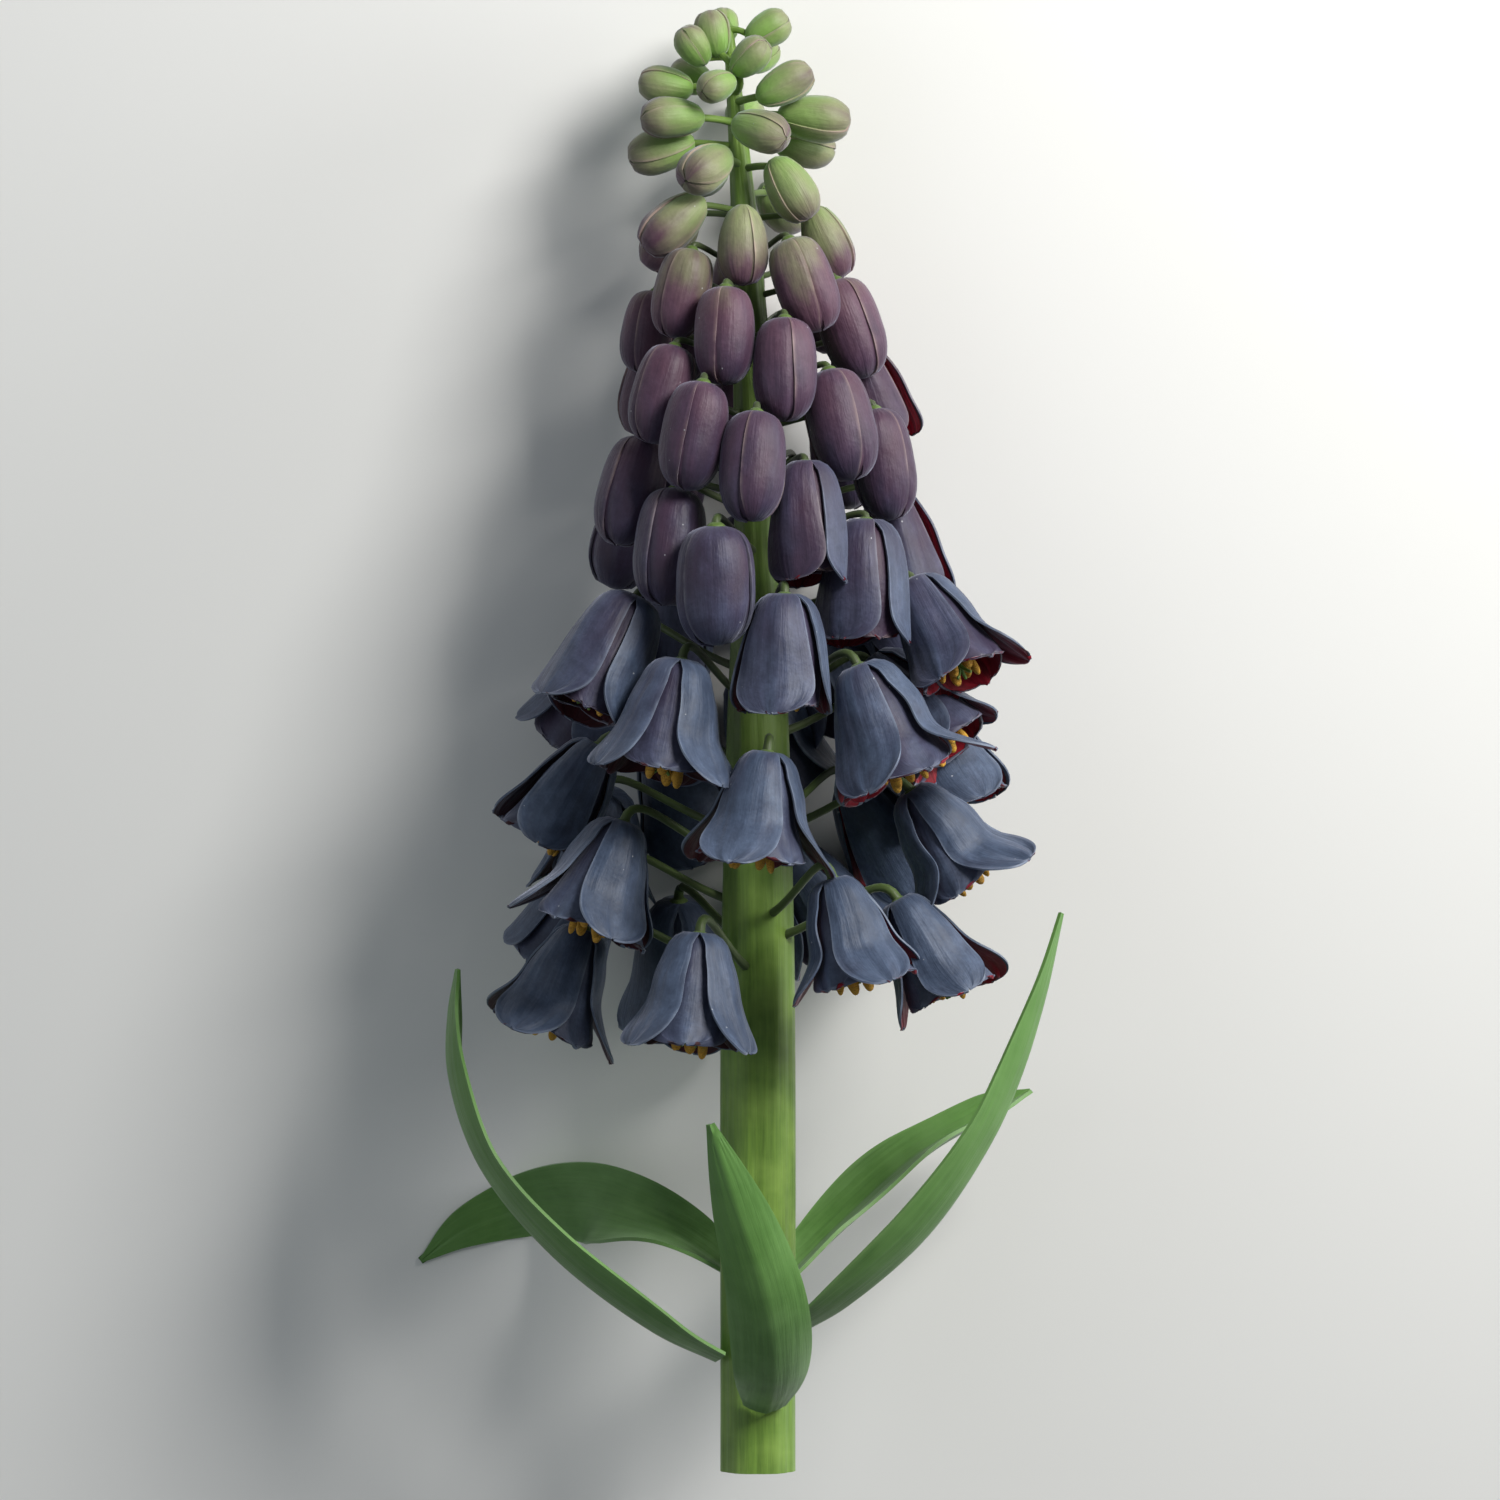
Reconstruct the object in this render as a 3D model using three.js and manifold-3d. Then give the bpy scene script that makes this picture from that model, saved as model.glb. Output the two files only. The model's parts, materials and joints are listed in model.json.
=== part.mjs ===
import * as THREE from 'three';
import { mergeVertices } from 'three/addons/utils/BufferGeometryUtils.js';
import Module from 'manifold-3d';

// One cut flower stem of persian lily, lying on a surface with its tip low.
// Millimetres. +X is across, +Y runs along the stem to its tip, +Z is away from the surface.
// Distances called down are measured along the stem from its tip to its cut end.

const wasm = await Module();
wasm.setup();

// Size and pose of the whole stem
const STEM_LENGTH = 264;
const LIE_ANGLE = THREE.MathUtils.degToRad(8);
const TIP_HEIGHT = 17.5;
const SEAT_GAP = 0.3;
const PRESSED = 0.3;
const TOUCH_WITHIN = 0.8;

// Leaning of the slender upper stem
const STRAIGHT_FROM = 110;
const STEM_ACROSS = 1.4;
const TIP_LEAN = 5.5;

// Lengths that change down the stem, as pairs of distance down and value
const STEM_RADIUS = [[0, 0.8], [18, 1.6], [28, 2], [70, 3.6], [98, 4.2], [131, 5.5], [158, 6.2],
  [264, 6.6]];
const TOP_REACH = [[0, 2], [7, 4.2], [14, 7.4], [25, 8.2], [34, 11.2], [47, 15.8], [71, 21.6],
  [91, 25.2], [106, 27.4], [124, 28.4], [170, 28.8]];
const BELL_LENGTH = [[0, 6.5], [10, 8.5], [16, 11.5], [28, 13], [35, 14.8], [42, 16.5], [50, 18],
  [65, 19.7], [80, 20.8], [95, 21.8], [106, 23.6], [170, 24]];
const MOUTH_REACH = [[0, 12], [8, 20], [15, 24], [45, 21], [65, 22], [92, 28], [112, 32], [122, 41],
  [190, 43]];
const BELL_TILT = [[0, 70], [8, 35], [18, 0], [32, -30], [39, -60], [50, -76], [95, -76], [106, -62],
  [170, -56]];
const OPENING = [[88, 0], [100, 0.4], [108, 0.9], [170, 1]];
const PEDICEL_RISE = [[0, -3], [20, 1], [40, 3], [90, 4], [110, 8], [170, 8]];
const PEDICEL_ARRIVAL = [[0, 0.16], [30, 0.12], [92, 0.12], [115, 0.26]];
const PEDICEL_LIFTS = [0.08, 0.22, -0.06, 0.36];
const PEDICEL_SINKS = [0, 2, -2, 4, -4, 6, 8];
const PEDICEL_SWINGS = [0, 3, -3, 6, -6, 9, -9, 13, -13];
const PEDICEL_RADIUS = [[0, 0.6], [30, 0.8], [60, 0.9], [110, 1.1], [170, 1.2]];

// Flowers on the near half of the stem, one row each: top across, top down, mouth across, mouth down,
// how far it is open, and how far its first outer tepal is turned from the near side, in degrees
const NEAR_FLOWERS = [
  [-6.5, 7.4, -7.9, -1.2, 0, 0],
  [-7.3, 7.9, -12.0, 2.0, 0, 60],
  [-0.6, 4.0, 7.0, -0.3, 0, 35],
  [-2.9, 10.3, 2.9, 4.7, 0, -35],
  [-10.3, 12.6, -20.3, 11.2, 0, 20],
  [-3.2, 11.5, -8.6, 14.0, 0, 30],
  [1.3, 15.1, 11.2, 9.6, 0, 0],
  [-8.3, 18.2, -19.8, 18.5, 0, 25],
  [5.0, 17.3, 18.3, 18.7, 0, 30],
  [-2.9, 19.3, 6.5, 22.7, 0, -20],
  [-10.1, 22.0, -22.1, 25.4, 0, -35],
  [-4.3, 25.0, -11.5, 30.6, 0, 0],
  [4.0, 25.7, 10.8, 36.7, 0, 25],
  [-8.5, 32.9, -19.1, 42.3, 0, 0],
  [-1.3, 34.4, -1.4, 49.1, 0, -35],
  [11.2, 34.0, 16.6, 47.0, 0, 0],
  [-10.4, 42.3, -14.0, 58.3, 0, 22],
  [6.8, 40.5, 13.0, 57.2, 0, -43],
  [-3.2, 49.7, -3.6, 67.3, 0, 45],
  [4.7, 54.9, 6.1, 73.8, 0, -45],
  [15.3, 47.3, 21.2, 65.2, 0, -25],
  [-17.1, 49.3, -20.2, 64.3, 0, 30],
  [-13.1, 59.4, -18.4, 76.5, 0, 10],
  [-8.5, 66.2, -12.2, 85.5, 0, 45],
  [13.0, 63.9, 18.2, 83.9, 0, -28],
  [0.5, 72.4, -0.2, 92.2, 0, 45],
  [22.3, 70.7, 25.7, 91.1, 0, -10],
  [-18.7, 76.3, -23.6, 95.9, 0, 20],
  [-13.1, 85.1, -15.7, 106.4, 0, 25],
  [9.2, 81.0, 10.8, 102.2, 0.2, -35],
  [-6.3, 92.3, -6.3, 113.9, 0, 5],
  [20.5, 91.3, 20.2, 113.4, 0.35, -32],
  [-20.0, 105.1, -30.1, 126.0, 0.35, -55],
  [6.1, 105.1, 5.4, 126.4, 0.45, -15],
  [29.3, 102.6, 40.0, 121.3, 0.7, -20],
  [-12.2, 116.8, -15.8, 138.2, 1, 55],
  [19.3, 117.7, 27.9, 138.6, 1, -30],
  [3.2, 132.8, 0.4, 152.6, 1, -20],
  [-27.5, 132.1, -38.7, 150.1, 0.7, -5],
  [29.2, 139.7, 40.5, 157.1, 1, 40],
  [-22.7, 145.8, -29.5, 165.6, 1, 25],
  [14.8, 155.9, 20.2, 175.1, 1, 25],
  [26.8, 159.7, 36.9, 177.8, 0.8, 20],
  [-30.2, 165.2, -37.8, 184.1, 0.9, -20],
  [-9.0, 165.6, -10.8, 186.8, 1, 60],
];

// The spiral that the flowers on the far half follow: turn in degrees and distance down of flower n, the
// places on it where none has grown, and how far two of them are open before their time
const FLOWER_COUNT = 83;
const BARE_PLACES = [0, 12, 21, 64, 78];
const OPEN_EARLY = { 34: 0.4, 47: 0.45 };
const FAR_SIDE = -0.12;
const spiralTurn = (n) => 105.7 - 137.05 * n - 0.0182 * n * n;
const spiralDown = (n) => 0.6 + 1.53 * n + 0.0056 * n * n;

// Flower form, as shares of the bell's length or of its greatest radius
const SLIMNESS = [[0, 0.38], [9, 0.37], [15, 0.31], [25, 0.33], [34, 0.305], [45, 0.3], [75, 0.285],
  [85, 0.29], [92, 0.32], [130, 0.32], [170, 0.3]];
const BUD_OUTLINE = [[0, 0.32], [0.08, 0.72], [0.3, 0.97], [0.66, 1], [0.91, 0.62]];
const SMALL_BUD_OUTLINE = [[0, 0.4], [0.2, 0.84], [0.56, 1.01], [0.87, 0.68]];
const SEAM_DEPTH = 0.12;
const WALL = 0.9;
const TEPAL_NOTCH = 0.3;
const HOLLOW_FROM = 0.17;
const LAYER_STEP = 0.05;
const TEPAL_TROUGH = 0.07;
const FLARE = 0.05;

// Flowers above this distance down are small green buds that belong to the stem
const GREEN_BUDS_TO = 35.5;
// Flowers less open than this are closed buds
const BUD_TO = 0.15;
// Depths towards the near side, past which flowers have more faces
const NEAREST_FROM = 34;
const FAR_FROM = -5;

// Leaves: half width, and the path of the midrib from base to tip as across, down and depth towards the
// near side. A point without a depth lies on the surface.
const LEAVES = {
  leaf_right: {
    half: 8,
    path: [[8.1, 238, 3.1], [17, 232, 8], [31, 219, 12], [42, 203, 12], [47.5, 191.7, 10],
      [52.5, 177, 8], [56.3, 162.4, 6]],
  },
  leaf_left: {
    half: 7.5,
    path: [[-5.8, 243, 2.2], [-17, 237, 5], [-35, 223, 6], [-48, 207, 4], [-53.5, 191.3, 2],
      [-53.9, 181, 1], [-53.1, 172.8, 0]],
  },
  leaf_near: {
    half: 7,
    path: [[2.8, 252, 7.2], [4, 245, 18], [3, 231, 30], [-2, 214, 37], [-7, 199, 40]],
  },
  leaf_far: {
    half: 6.5,
    path: [[6.2, 229, -5.6], [16, 219, -13], [30, 207, -19], [43, 200, -24], [52, 196, -26]],
  },
  leaf_trailing: {
    half: 7.5,
    path: [[-3, 228, -5.9], [-12, 222, -11], [-24, 218, -23], [-34, 217, -37], [-44, 219],
      [-54, 223], [-62, 229]],
  },
};
const LEAF_OUTLINE = [[0, 0.5], [0.15, 0.82], [0.4, 1], [0.65, 0.8], [0.85, 0.45], [1, 0.05]];
const LEAF_THICKNESS = 0.8;
const LEAF_STATIONS = 9;
const LEAF_CHANNEL = 0.42;

const COLOURS = {
  stem: 0x7f9a55,
  green: 0x76924f,
  bud: 0x5b3d4b,
  bell: 0x5a5a72,
};

const UP = new THREE.Vector3(0, 1, 0);
const NEARER = new THREE.Vector3(0, 0, 1);
const SURFACE_NORMAL = new THREE.Vector3(0, -Math.sin(LIE_ANGLE), Math.cos(LIE_ANGLE));

function along(table, at) {
  if (at <= table[0][0]) return table[0][1];
  for (let i = 1; i < table.length; i += 1) {
    const [x1, y1] = table[i];
    if (at <= x1) {
      const [x0, y0] = table[i - 1];
      return y0 + (y1 - y0) * (at - x0) / (x1 - x0);
    }
  }
  return table[table.length - 1][1];
}

function scatter(n, salt) {
  const value = Math.sin(n * 12.9898 + salt * 78.233) * 43758.5453;
  return value - Math.floor(value);
}

function axisPoint(down) {
  const lean = Math.max(0, 1 - down / STRAIGHT_FROM);
  return new THREE.Vector3(STEM_ACROSS - TIP_LEAN * lean * lean, -down, 0);
}

// Height of a point over the surface that the stem lies on
function height(point) {
  return point.dot(SURFACE_NORMAL) + TIP_HEIGHT;
}

// A closed solid through rings of equal count, ended by a fan to a point at each end
function ringSolid(rings, first, last) {
  const count = rings[0].length;
  const points = [first, ...rings.flat(), last];
  const faces = [];
  for (let i = 0; i < count; i += 1) {
    const j = (i + 1) % count;
    faces.push(0, 1 + j, 1 + i);
    for (let r = 0; r + 1 < rings.length; r += 1) {
      const a = 1 + r * count;
      const b = a + count;
      faces.push(a + i, a + j, b + i, a + j, b + j, b + i);
    }
    const end = 1 + (rings.length - 1) * count;
    faces.push(end + i, end + j, points.length - 1);
  }
  return orient(points, faces);
}

function orient(points, faces) {
  let volume = 0;
  for (let i = 0; i < faces.length; i += 3) {
    const [a, b, c] = [points[faces[i]], points[faces[i + 1]], points[faces[i + 2]]];
    volume += a.dot(new THREE.Vector3().crossVectors(b, c));
  }
  if (volume < 0) faces.reverse();
  const geometry = new THREE.BufferGeometry();
  const numbers = points.flatMap((p) => p.toArray());
  geometry.setAttribute('position', new THREE.Float32BufferAttribute(numbers, 3));
  geometry.setIndex(faces);
  return geometry;
}

function toSolid(geometry) {
  const clean = mergeVertices(geometry, 1e-5);
  const vertProperties = new Float32Array(clean.attributes.position.array);
  const triVerts = new Uint32Array(clean.index.array);
  return new wasm.Manifold(new wasm.Mesh({ numProp: 3, vertProperties, triVerts }));
}

function toGeometry(solid) {
  const mesh = solid.getMesh();
  const geometry = new THREE.BufferGeometry();
  geometry.setAttribute('position', new THREE.BufferAttribute(new Float32Array(mesh.vertProperties), 3));
  geometry.setIndex(new THREE.BufferAttribute(new Uint32Array(mesh.triVerts), 1));
  return geometry;
}

function fuse(solids) {
  return solids.reduce((whole, next) => whole.add(next));
}

// Two directions square to a given one, the first of them as near as can be to outward
function sideways(direction, outward) {
  const first = outward.clone().addScaledVector(direction, -outward.dot(direction)).normalize();
  return [first, new THREE.Vector3().crossVectors(direction, first)];
}

function tube(curve, radius, sides, steps) {
  const rings = [];
  const guide = new THREE.Vector3(0.31, 0.22, 0.92);
  for (let i = 0; i <= steps; i += 1) {
    const centre = curve.getPoint(i / steps);
    const [a, b] = sideways(curve.getTangent(i / steps), guide);
    rings.push(circle(centre, a, b, sides, () => radius));
  }
  return ringSolid(rings, curve.getPoint(0), curve.getPoint(1));
}

function circle(centre, a, b, sides, radiusAt) {
  const ring = [];
  for (let i = 0; i < sides; i += 1) {
    const angle = 2 * Math.PI * i / sides;
    const r = radiusAt(angle);
    const point = centre.clone().addScaledVector(a, r * Math.cos(angle));
    ring.push(point.addScaledVector(b, r * Math.sin(angle)));
  }
  return ring;
}

// A flower seen on the near half: its depth follows from how far its top stands from the stem
function nearFlower([across, down, mouthAcross, mouthDown, open, turn]) {
  const reach = along(TOP_REACH, down);
  const offset = across - axisPoint(down).x;
  const depth = Math.sqrt(Math.max(0, reach * reach - offset * offset));
  const seen = Math.hypot(mouthAcross - across, mouthDown - down);
  const full = along(BELL_LENGTH, down);
  const most = full * Math.cos(THREE.MathUtils.degToRad(along(BELL_TILT, down))) * depth / reach * 1.25;
  const nodding = seen * (open < BUD_TO ? 1 : 0.05);
  const outward = Math.min(most, nodding, Math.sqrt(Math.max(0, full * full - seen * seen)));
  return {
    top: new THREE.Vector3(across, -down, depth),
    mouth: new THREE.Vector3(mouthAcross, -mouthDown, depth + outward),
    open,
    turn,
    near: true,
  };
}

// A flower of the spiral, used where it comes out on the far half
function spiralFlower(n) {
  const turn = THREE.MathUtils.degToRad(spiralTurn(n));
  const down = spiralDown(n);
  const outward = new THREE.Vector3(Math.sin(turn), 0, Math.cos(turn));
  const tilt = THREE.MathUtils.degToRad(along(BELL_TILT, down) + 8 * (scatter(n, 1) - 0.5));
  const top = axisPoint(down).addScaledVector(outward, along(TOP_REACH, down));
  const mouth = top.clone().addScaledVector(outward, along(BELL_LENGTH, down) * Math.cos(tilt));
  mouth.addScaledVector(UP, along(BELL_LENGTH, down) * Math.sin(tilt));
  const open = OPEN_EARLY[n] ?? along(OPENING, down) * (0.5 + 0.3 * scatter(n, 2));
  return { top, mouth, open, turn: 60 * (scatter(n, 3) - 0.5), near: false };
}

function allFlowers() {
  const flowers = NEAR_FLOWERS.map(nearFlower);
  for (let n = 0; n < FLOWER_COUNT; n += 1) {
    const far = Math.cos(THREE.MathUtils.degToRad(spiralTurn(n))) < FAR_SIDE;
    if (far && !BARE_PLACES.includes(n)) flowers.push(spiralFlower(n));
  }
  for (const flower of flowers) {
    flower.length = flower.top.distanceTo(flower.mouth);
    flower.radius = flower.length * along(SLIMNESS, -flower.top.y);
    flower.green = -flower.top.y < GREEN_BUDS_TO;
  }
  return flowers.sort((a, b) => b.top.y - a.top.y);
}

// Balls down a bell that stand for its body while the flowers make room for each other
const BODY = [[0.1, 0.6, 0], [0.33, 0.95, 0.05], [0.6, 0.95, 0.2], [0.84, 0.7, 0.62], [0.96, 0.4, 1]];

function bodyBalls(flower) {
  return BODY.map(([at, closed, more]) => ({
    at,
    centre: flower.top.clone().lerp(flower.mouth, at),
    radius: flower.radius * (closed + more * flower.open) * (flower.green ? 0.6 : 1),
  }));
}

// The flowers push each other apart and up off the surface. Those on the near half keep their place
// across and down, and give way in depth.
const ROUNDS = 120;
const NEAR_GIVE = 0.12;
const ROOM = 0.5;
const MAY_TOUCH_WITHIN = 60;
const SLIM_PASSES = 2;
const GREEN_SLIM_PASSES = 5;
const SLIM_BY = 0.96;

function makeRoom(flowers) {
  for (let round = 0; round < ROUNDS; round += 1) {
    const balls = flowers.map(bodyBalls);
    const pushes = flowers.map(() => [new THREE.Vector3(), new THREE.Vector3()]);
    const push = (index, ball, way, amount) => {
      pushes[index][0].addScaledVector(way, amount * (1 - ball.at));
      pushes[index][1].addScaledVector(way, amount * ball.at);
    };
    for (let i = 0; i < flowers.length; i += 1) {
      for (let j = i + 1; j < flowers.length; j += 1) {
        if (Math.abs(flowers[i].top.y - flowers[j].top.y) > MAY_TOUCH_WITHIN) continue;
        for (const a of balls[i]) {
          for (const b of balls[j]) {
            const way = a.centre.clone().sub(b.centre);
            const deep = a.radius + b.radius + ROOM - way.length();
            if (deep <= 0) continue;
            way.normalize();
            push(i, a, way, 0.3 * deep);
            push(j, b, way, -0.3 * deep);
          }
        }
      }
      for (const ball of balls[i]) {
        const deep = ball.radius - height(ball.centre);
        if (deep > 0) push(i, ball, SURFACE_NORMAL, 0.5 * deep);
      }
    }
    flowers.forEach((flower, i) => settle(flower, pushes[i]));
  }
}

function settle(flower, [topPush, mouthPush]) {
  if (flower.near) {
    topPush.multiply(new THREE.Vector3(NEAR_GIVE, NEAR_GIVE, 1));
    mouthPush.multiply(new THREE.Vector3(NEAR_GIVE, NEAR_GIVE, 1));
  }
  flower.top.add(topPush);
  flower.mouth.add(mouthPush);
  const axis = axisPoint(-flower.top.y);
  const reach = flower.top.clone().sub(axis);
  const usual = along(TOP_REACH, -flower.top.y);
  const allowed = THREE.MathUtils.clamp(reach.length(), 0.72 * usual, 1.18 * usual);
  flower.top.copy(axis).addScaledVector(reach.normalize(), allowed);
  const mouthAxis = axisPoint(-flower.mouth.y);
  const mouthReach = flower.mouth.clone().sub(mouthAxis);
  mouthReach.clampLength(0, along(MOUTH_REACH, -flower.mouth.y));
  flower.mouth.copy(mouthAxis).add(mouthReach);
  const way = flower.mouth.clone().sub(flower.top).normalize();
  flower.mouth.copy(flower.top).addScaledVector(way, flower.length);
}

function outwardFrom(flower) {
  const middle = flower.top.clone().lerp(flower.mouth, 0.5);
  const outward = middle.clone().sub(axisPoint(-middle.y));
  outward.y = 0;
  return outward.normalize();
}

// Two directions square to a flower's length, the first one through the middle of an outer tepal
function tepalAxes(flower) {
  const direction = flower.mouth.clone().sub(flower.top).normalize();
  const [front, side] = sideways(direction, flower.near ? NEARER : outwardFrom(flower));
  const turn = THREE.MathUtils.degToRad(flower.turn);
  const first = front.multiplyScalar(Math.cos(turn)).addScaledVector(side, -Math.sin(turn));
  return [first, new THREE.Vector3().crossVectors(direction, first)];
}

// A closed bud: three outer tepals wrapped round, with a seam between each two
function budSolid(flower, outline, sides) {
  const [a, b] = tepalAxes(flower);
  const rings = outline.map(([at, share]) => {
    const centre = flower.top.clone().lerp(flower.mouth, at);
    const seams = at > 0.05 ? SEAM_DEPTH : 0;
    return circle(centre, a, b, sides, (angle) => {
      const seam = Math.max(0, -Math.cos(3 * angle));
      return flower.radius * share * (1 - seams * seam * seam);
    });
  });
  return ringSolid(rings, flower.top.clone(), flower.mouth.clone());
}

function bellOutline(open) {
  return [[0, 0.34], [0.1, 0.8], [0.36, 1.03], [0.62, 1 + 0.2 * open], [1, 0.75 + 0.85 * open]];
}

// An open bell: a thin shell of six tepals, three outer ones that flare and three inner ones
function bellSolid(flower, columns) {
  const [a, b] = tepalAxes(flower);
  const outline = bellOutline(flower.open);
  const notch = columns > 12 ? TEPAL_NOTCH : 0.7 * TEPAL_NOTCH;
  const ring = (at, wall, edge) => {
    const points = [];
    for (let i = 0; i < columns; i += 1) {
      const angle = Math.PI / 6 + 2 * Math.PI * i / columns;
      const off = Math.abs(1 - (6 * i / columns % 1) * 2);
      const reach = edge ? 1 - notch * off ** 3 : at;
      const layer = Math.cos(3 * angle);
      const relief = Math.min(1, 2 * reach) * (LAYER_STEP * layer - TEPAL_TROUGH * off * off);
      const flare = edge ? FLARE * flower.length * flower.open * (1 + layer) * (1 - off) : 0;
      const r = flower.radius * along(outline, reach) * (1 + relief) + flare - wall;
      const centre = flower.top.clone().lerp(flower.mouth, reach);
      points.push(centre.addScaledVector(a, r * Math.cos(angle)).addScaledVector(b, r * Math.sin(angle)));
    }
    return points;
  };
  const stops = columns > 12 ? [0, 0.1, 0.36, 0.62] : [0, 0.1, 0.45];
  const outer = stops.map((at) => ring(at, 0));
  const rings = [...outer, ring(1, 0, true), ring(1, WALL, true), ring(0.42, WALL)];
  return ringSolid(rings, flower.top.clone(), flower.top.clone().lerp(flower.mouth, HOLLOW_FROM));
}

// Flowers on the near side, which shows most, have the most faces
function flowerSolid(flower) {
  if (flower.green) return budSolid(flower, SMALL_BUD_OUTLINE, 9);
  if (flower.open < BUD_TO && flower.top.z < FAR_FROM) return budSolid(flower, SMALL_BUD_OUTLINE, 9);
  if (flower.open < BUD_TO) return budSolid(flower, BUD_OUTLINE, 12);
  if (flower.mouth.z > NEAREST_FROM) return bellSolid(flower, 24);
  return bellSolid(flower, flower.mouth.z > FAR_FROM ? 18 : 12);
}

// A bell that comes down to the surface is moved to touch it, pressed in by a little
function seatBell(flower) {
  const position = flowerSolid(flower).attributes.position;
  let low = Infinity;
  for (let i = 0; i < position.count; i += 1) {
    low = Math.min(low, height(new THREE.Vector3().fromBufferAttribute(position, i)));
  }
  if (low > TOUCH_WITHIN) return;
  flower.top.addScaledVector(SURFACE_NORMAL, -PRESSED - low);
  flower.mouth.addScaledVector(SURFACE_NORMAL, -PRESSED - low);
}

// Points that dip under the surface are pressed flat on it
function pressFlat(geometry) {
  const position = geometry.attributes.position;
  const point = new THREE.Vector3();
  for (let i = 0; i < position.count; i += 1) {
    point.fromBufferAttribute(position, i);
    const deep = -height(point);
    if (deep > 0) {
      point.addScaledVector(SURFACE_NORMAL, deep);
      position.setXYZ(i, point.x, point.y, point.z);
    }
  }
  return geometry;
}

// The stalk of a flower rises from the stem and turns over into the top of the bell
function pedicelCurve(flower, sink, swing, lift) {
  const down = -flower.top.y;
  const direction = flower.mouth.clone().sub(flower.top).normalize();
  const inset = flower.green ? flower.length * 0.2 : -SEAT_GAP;
  const end = flower.top.clone().addScaledVector(direction, inset);
  const root = axisPoint(Math.max(1, down + along(PEDICEL_RISE, down) + sink));
  const outward = flower.top.clone().sub(axisPoint(down)).normalize();
  const reach = end.distanceTo(root);
  const rise = root.clone().addScaledVector(outward, 0.5 * reach).addScaledVector(UP, lift * reach);
  rise.addScaledVector(new THREE.Vector3().crossVectors(UP, outward), swing);
  const arrive = end.clone().addScaledVector(direction, -along(PEDICEL_ARRIVAL, down) * reach);
  return new THREE.CubicBezierCurve3(root, rise, arrive, end);
}

function meets(solid, others) {
  return others.some((other) => other.intersect(solid).volume() > 0);
}

// Of many bends of a pedicel, the first that passes clear of every bell
function pedicelSolid(flower, bells) {
  const radius = along(PEDICEL_RADIUS, -flower.top.y);
  const steps = flower.green || flower.top.z < FAR_FROM ? 2 : 3;
  const stalk = (lift, sink, swing, spare) => {
    return toSolid(tube(pedicelCurve(flower, sink, swing, lift), radius + spare, 4, steps));
  };
  const close = bells.filter((bell) => bell.flower.top.distanceTo(flower.top) < MAY_TOUCH_WITHIN);
  const bodies = (picked) => close.filter(picked).map((bell) => bell.solid);
  const others = bodies((bell) => bell.flower !== flower && !bell.flower.green);
  const own = bodies((bell) => bell.flower === flower);
  for (const lift of PEDICEL_LIFTS) {
    for (const sink of PEDICEL_SINKS) {
      for (const swing of PEDICEL_SWINGS) {
        if (meets(stalk(lift, sink, swing, SEAT_GAP / 2), others)) continue;
        if (flower.green || !meets(stalk(lift, sink, swing, 0), own)) return stalk(lift, sink, swing, 0);
      }
    }
  }
  return stalk(PEDICEL_LIFTS[0], 0, 0, 0);
}

// The ribbed main stem
function axisSolid() {
  const sides = 12;
  const stops = [0.5, 9, 18, 28, 42, 56, 70, 98, 131, 158, 210, STEM_LENGTH];
  const across = new THREE.Vector3(1, 0, 0);
  const rings = stops.map((down) => circle(axisPoint(down), across, NEARER, sides, (angle) => {
    return along(STEM_RADIUS, down) * (1 + 0.035 * Math.cos(6 * angle));
  }));
  return ringSolid(rings, axisPoint(-0.5), axisPoint(STEM_LENGTH));
}

// Depth towards the near side of a leaf's middle where it lies on the surface
function lyingDepth(down) {
  return (LEAF_THICKNESS / 2 - TIP_HEIGHT - down * Math.sin(LIE_ANGLE)) / Math.cos(LIE_ANGLE);
}

function leafSolid({ half, path }) {
  const lies = path.some((point) => point.length < 3);
  const points = path.map(([x, down, z = lyingDepth(down)]) => new THREE.Vector3(x, -down, z));
  const curve = new THREE.CatmullRomCurve3(points);
  const rings = [];
  for (let i = 0; i <= LEAF_STATIONS; i += 1) {
    const at = i / LEAF_STATIONS;
    const centre = curve.getPoint(at);
    const tangent = curve.getTangent(at);
    const inward = axisPoint(-centre.y).sub(centre).addScaledVector(UP, 12).normalize();
    const laid = lies ? Math.min(1, at * 1.6) : 0;
    const [face, side] = sideways(tangent, inward.lerp(SURFACE_NORMAL, laid));
    const channel = LEAF_CHANNEL * Math.min(1, at * 5) * (1 - laid);
    rings.push(leafSection(centre, side, face, half * along(LEAF_OUTLINE, at), channel));
  }
  return ringSolid(rings, middle(rings[0]), middle(rings[rings.length - 1]));
}

function middle(ring) {
  const sum = new THREE.Vector3();
  for (const point of ring) sum.add(point);
  return sum.divideScalar(ring.length);
}

// A leaf's section is a shallow channel of even thickness
function leafSection(centre, side, face, half, channel) {
  const shares = [-1, -0.5, 0, 0.5, 1];
  const rise = (share) => channel * half * (share * share - 0.4);
  const upper = shares.map((share) => centre.clone().addScaledVector(side, share * half)
    .addScaledVector(face, rise(share) + LEAF_THICKNESS / 2));
  const lower = shares.map((share) => centre.clone().addScaledVector(side, share * half)
    .addScaledVector(face, rise(share) - LEAF_THICKNESS / 2));
  return [...upper, ...lower.reverse()];
}

function named(name, geometry, colour, roughness) {
  const material = new THREE.MeshStandardMaterial({ color: colour, roughness, metalness: 0 });
  const mesh = new THREE.Mesh(geometry, material);
  mesh.name = name;
  return mesh;
}

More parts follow.
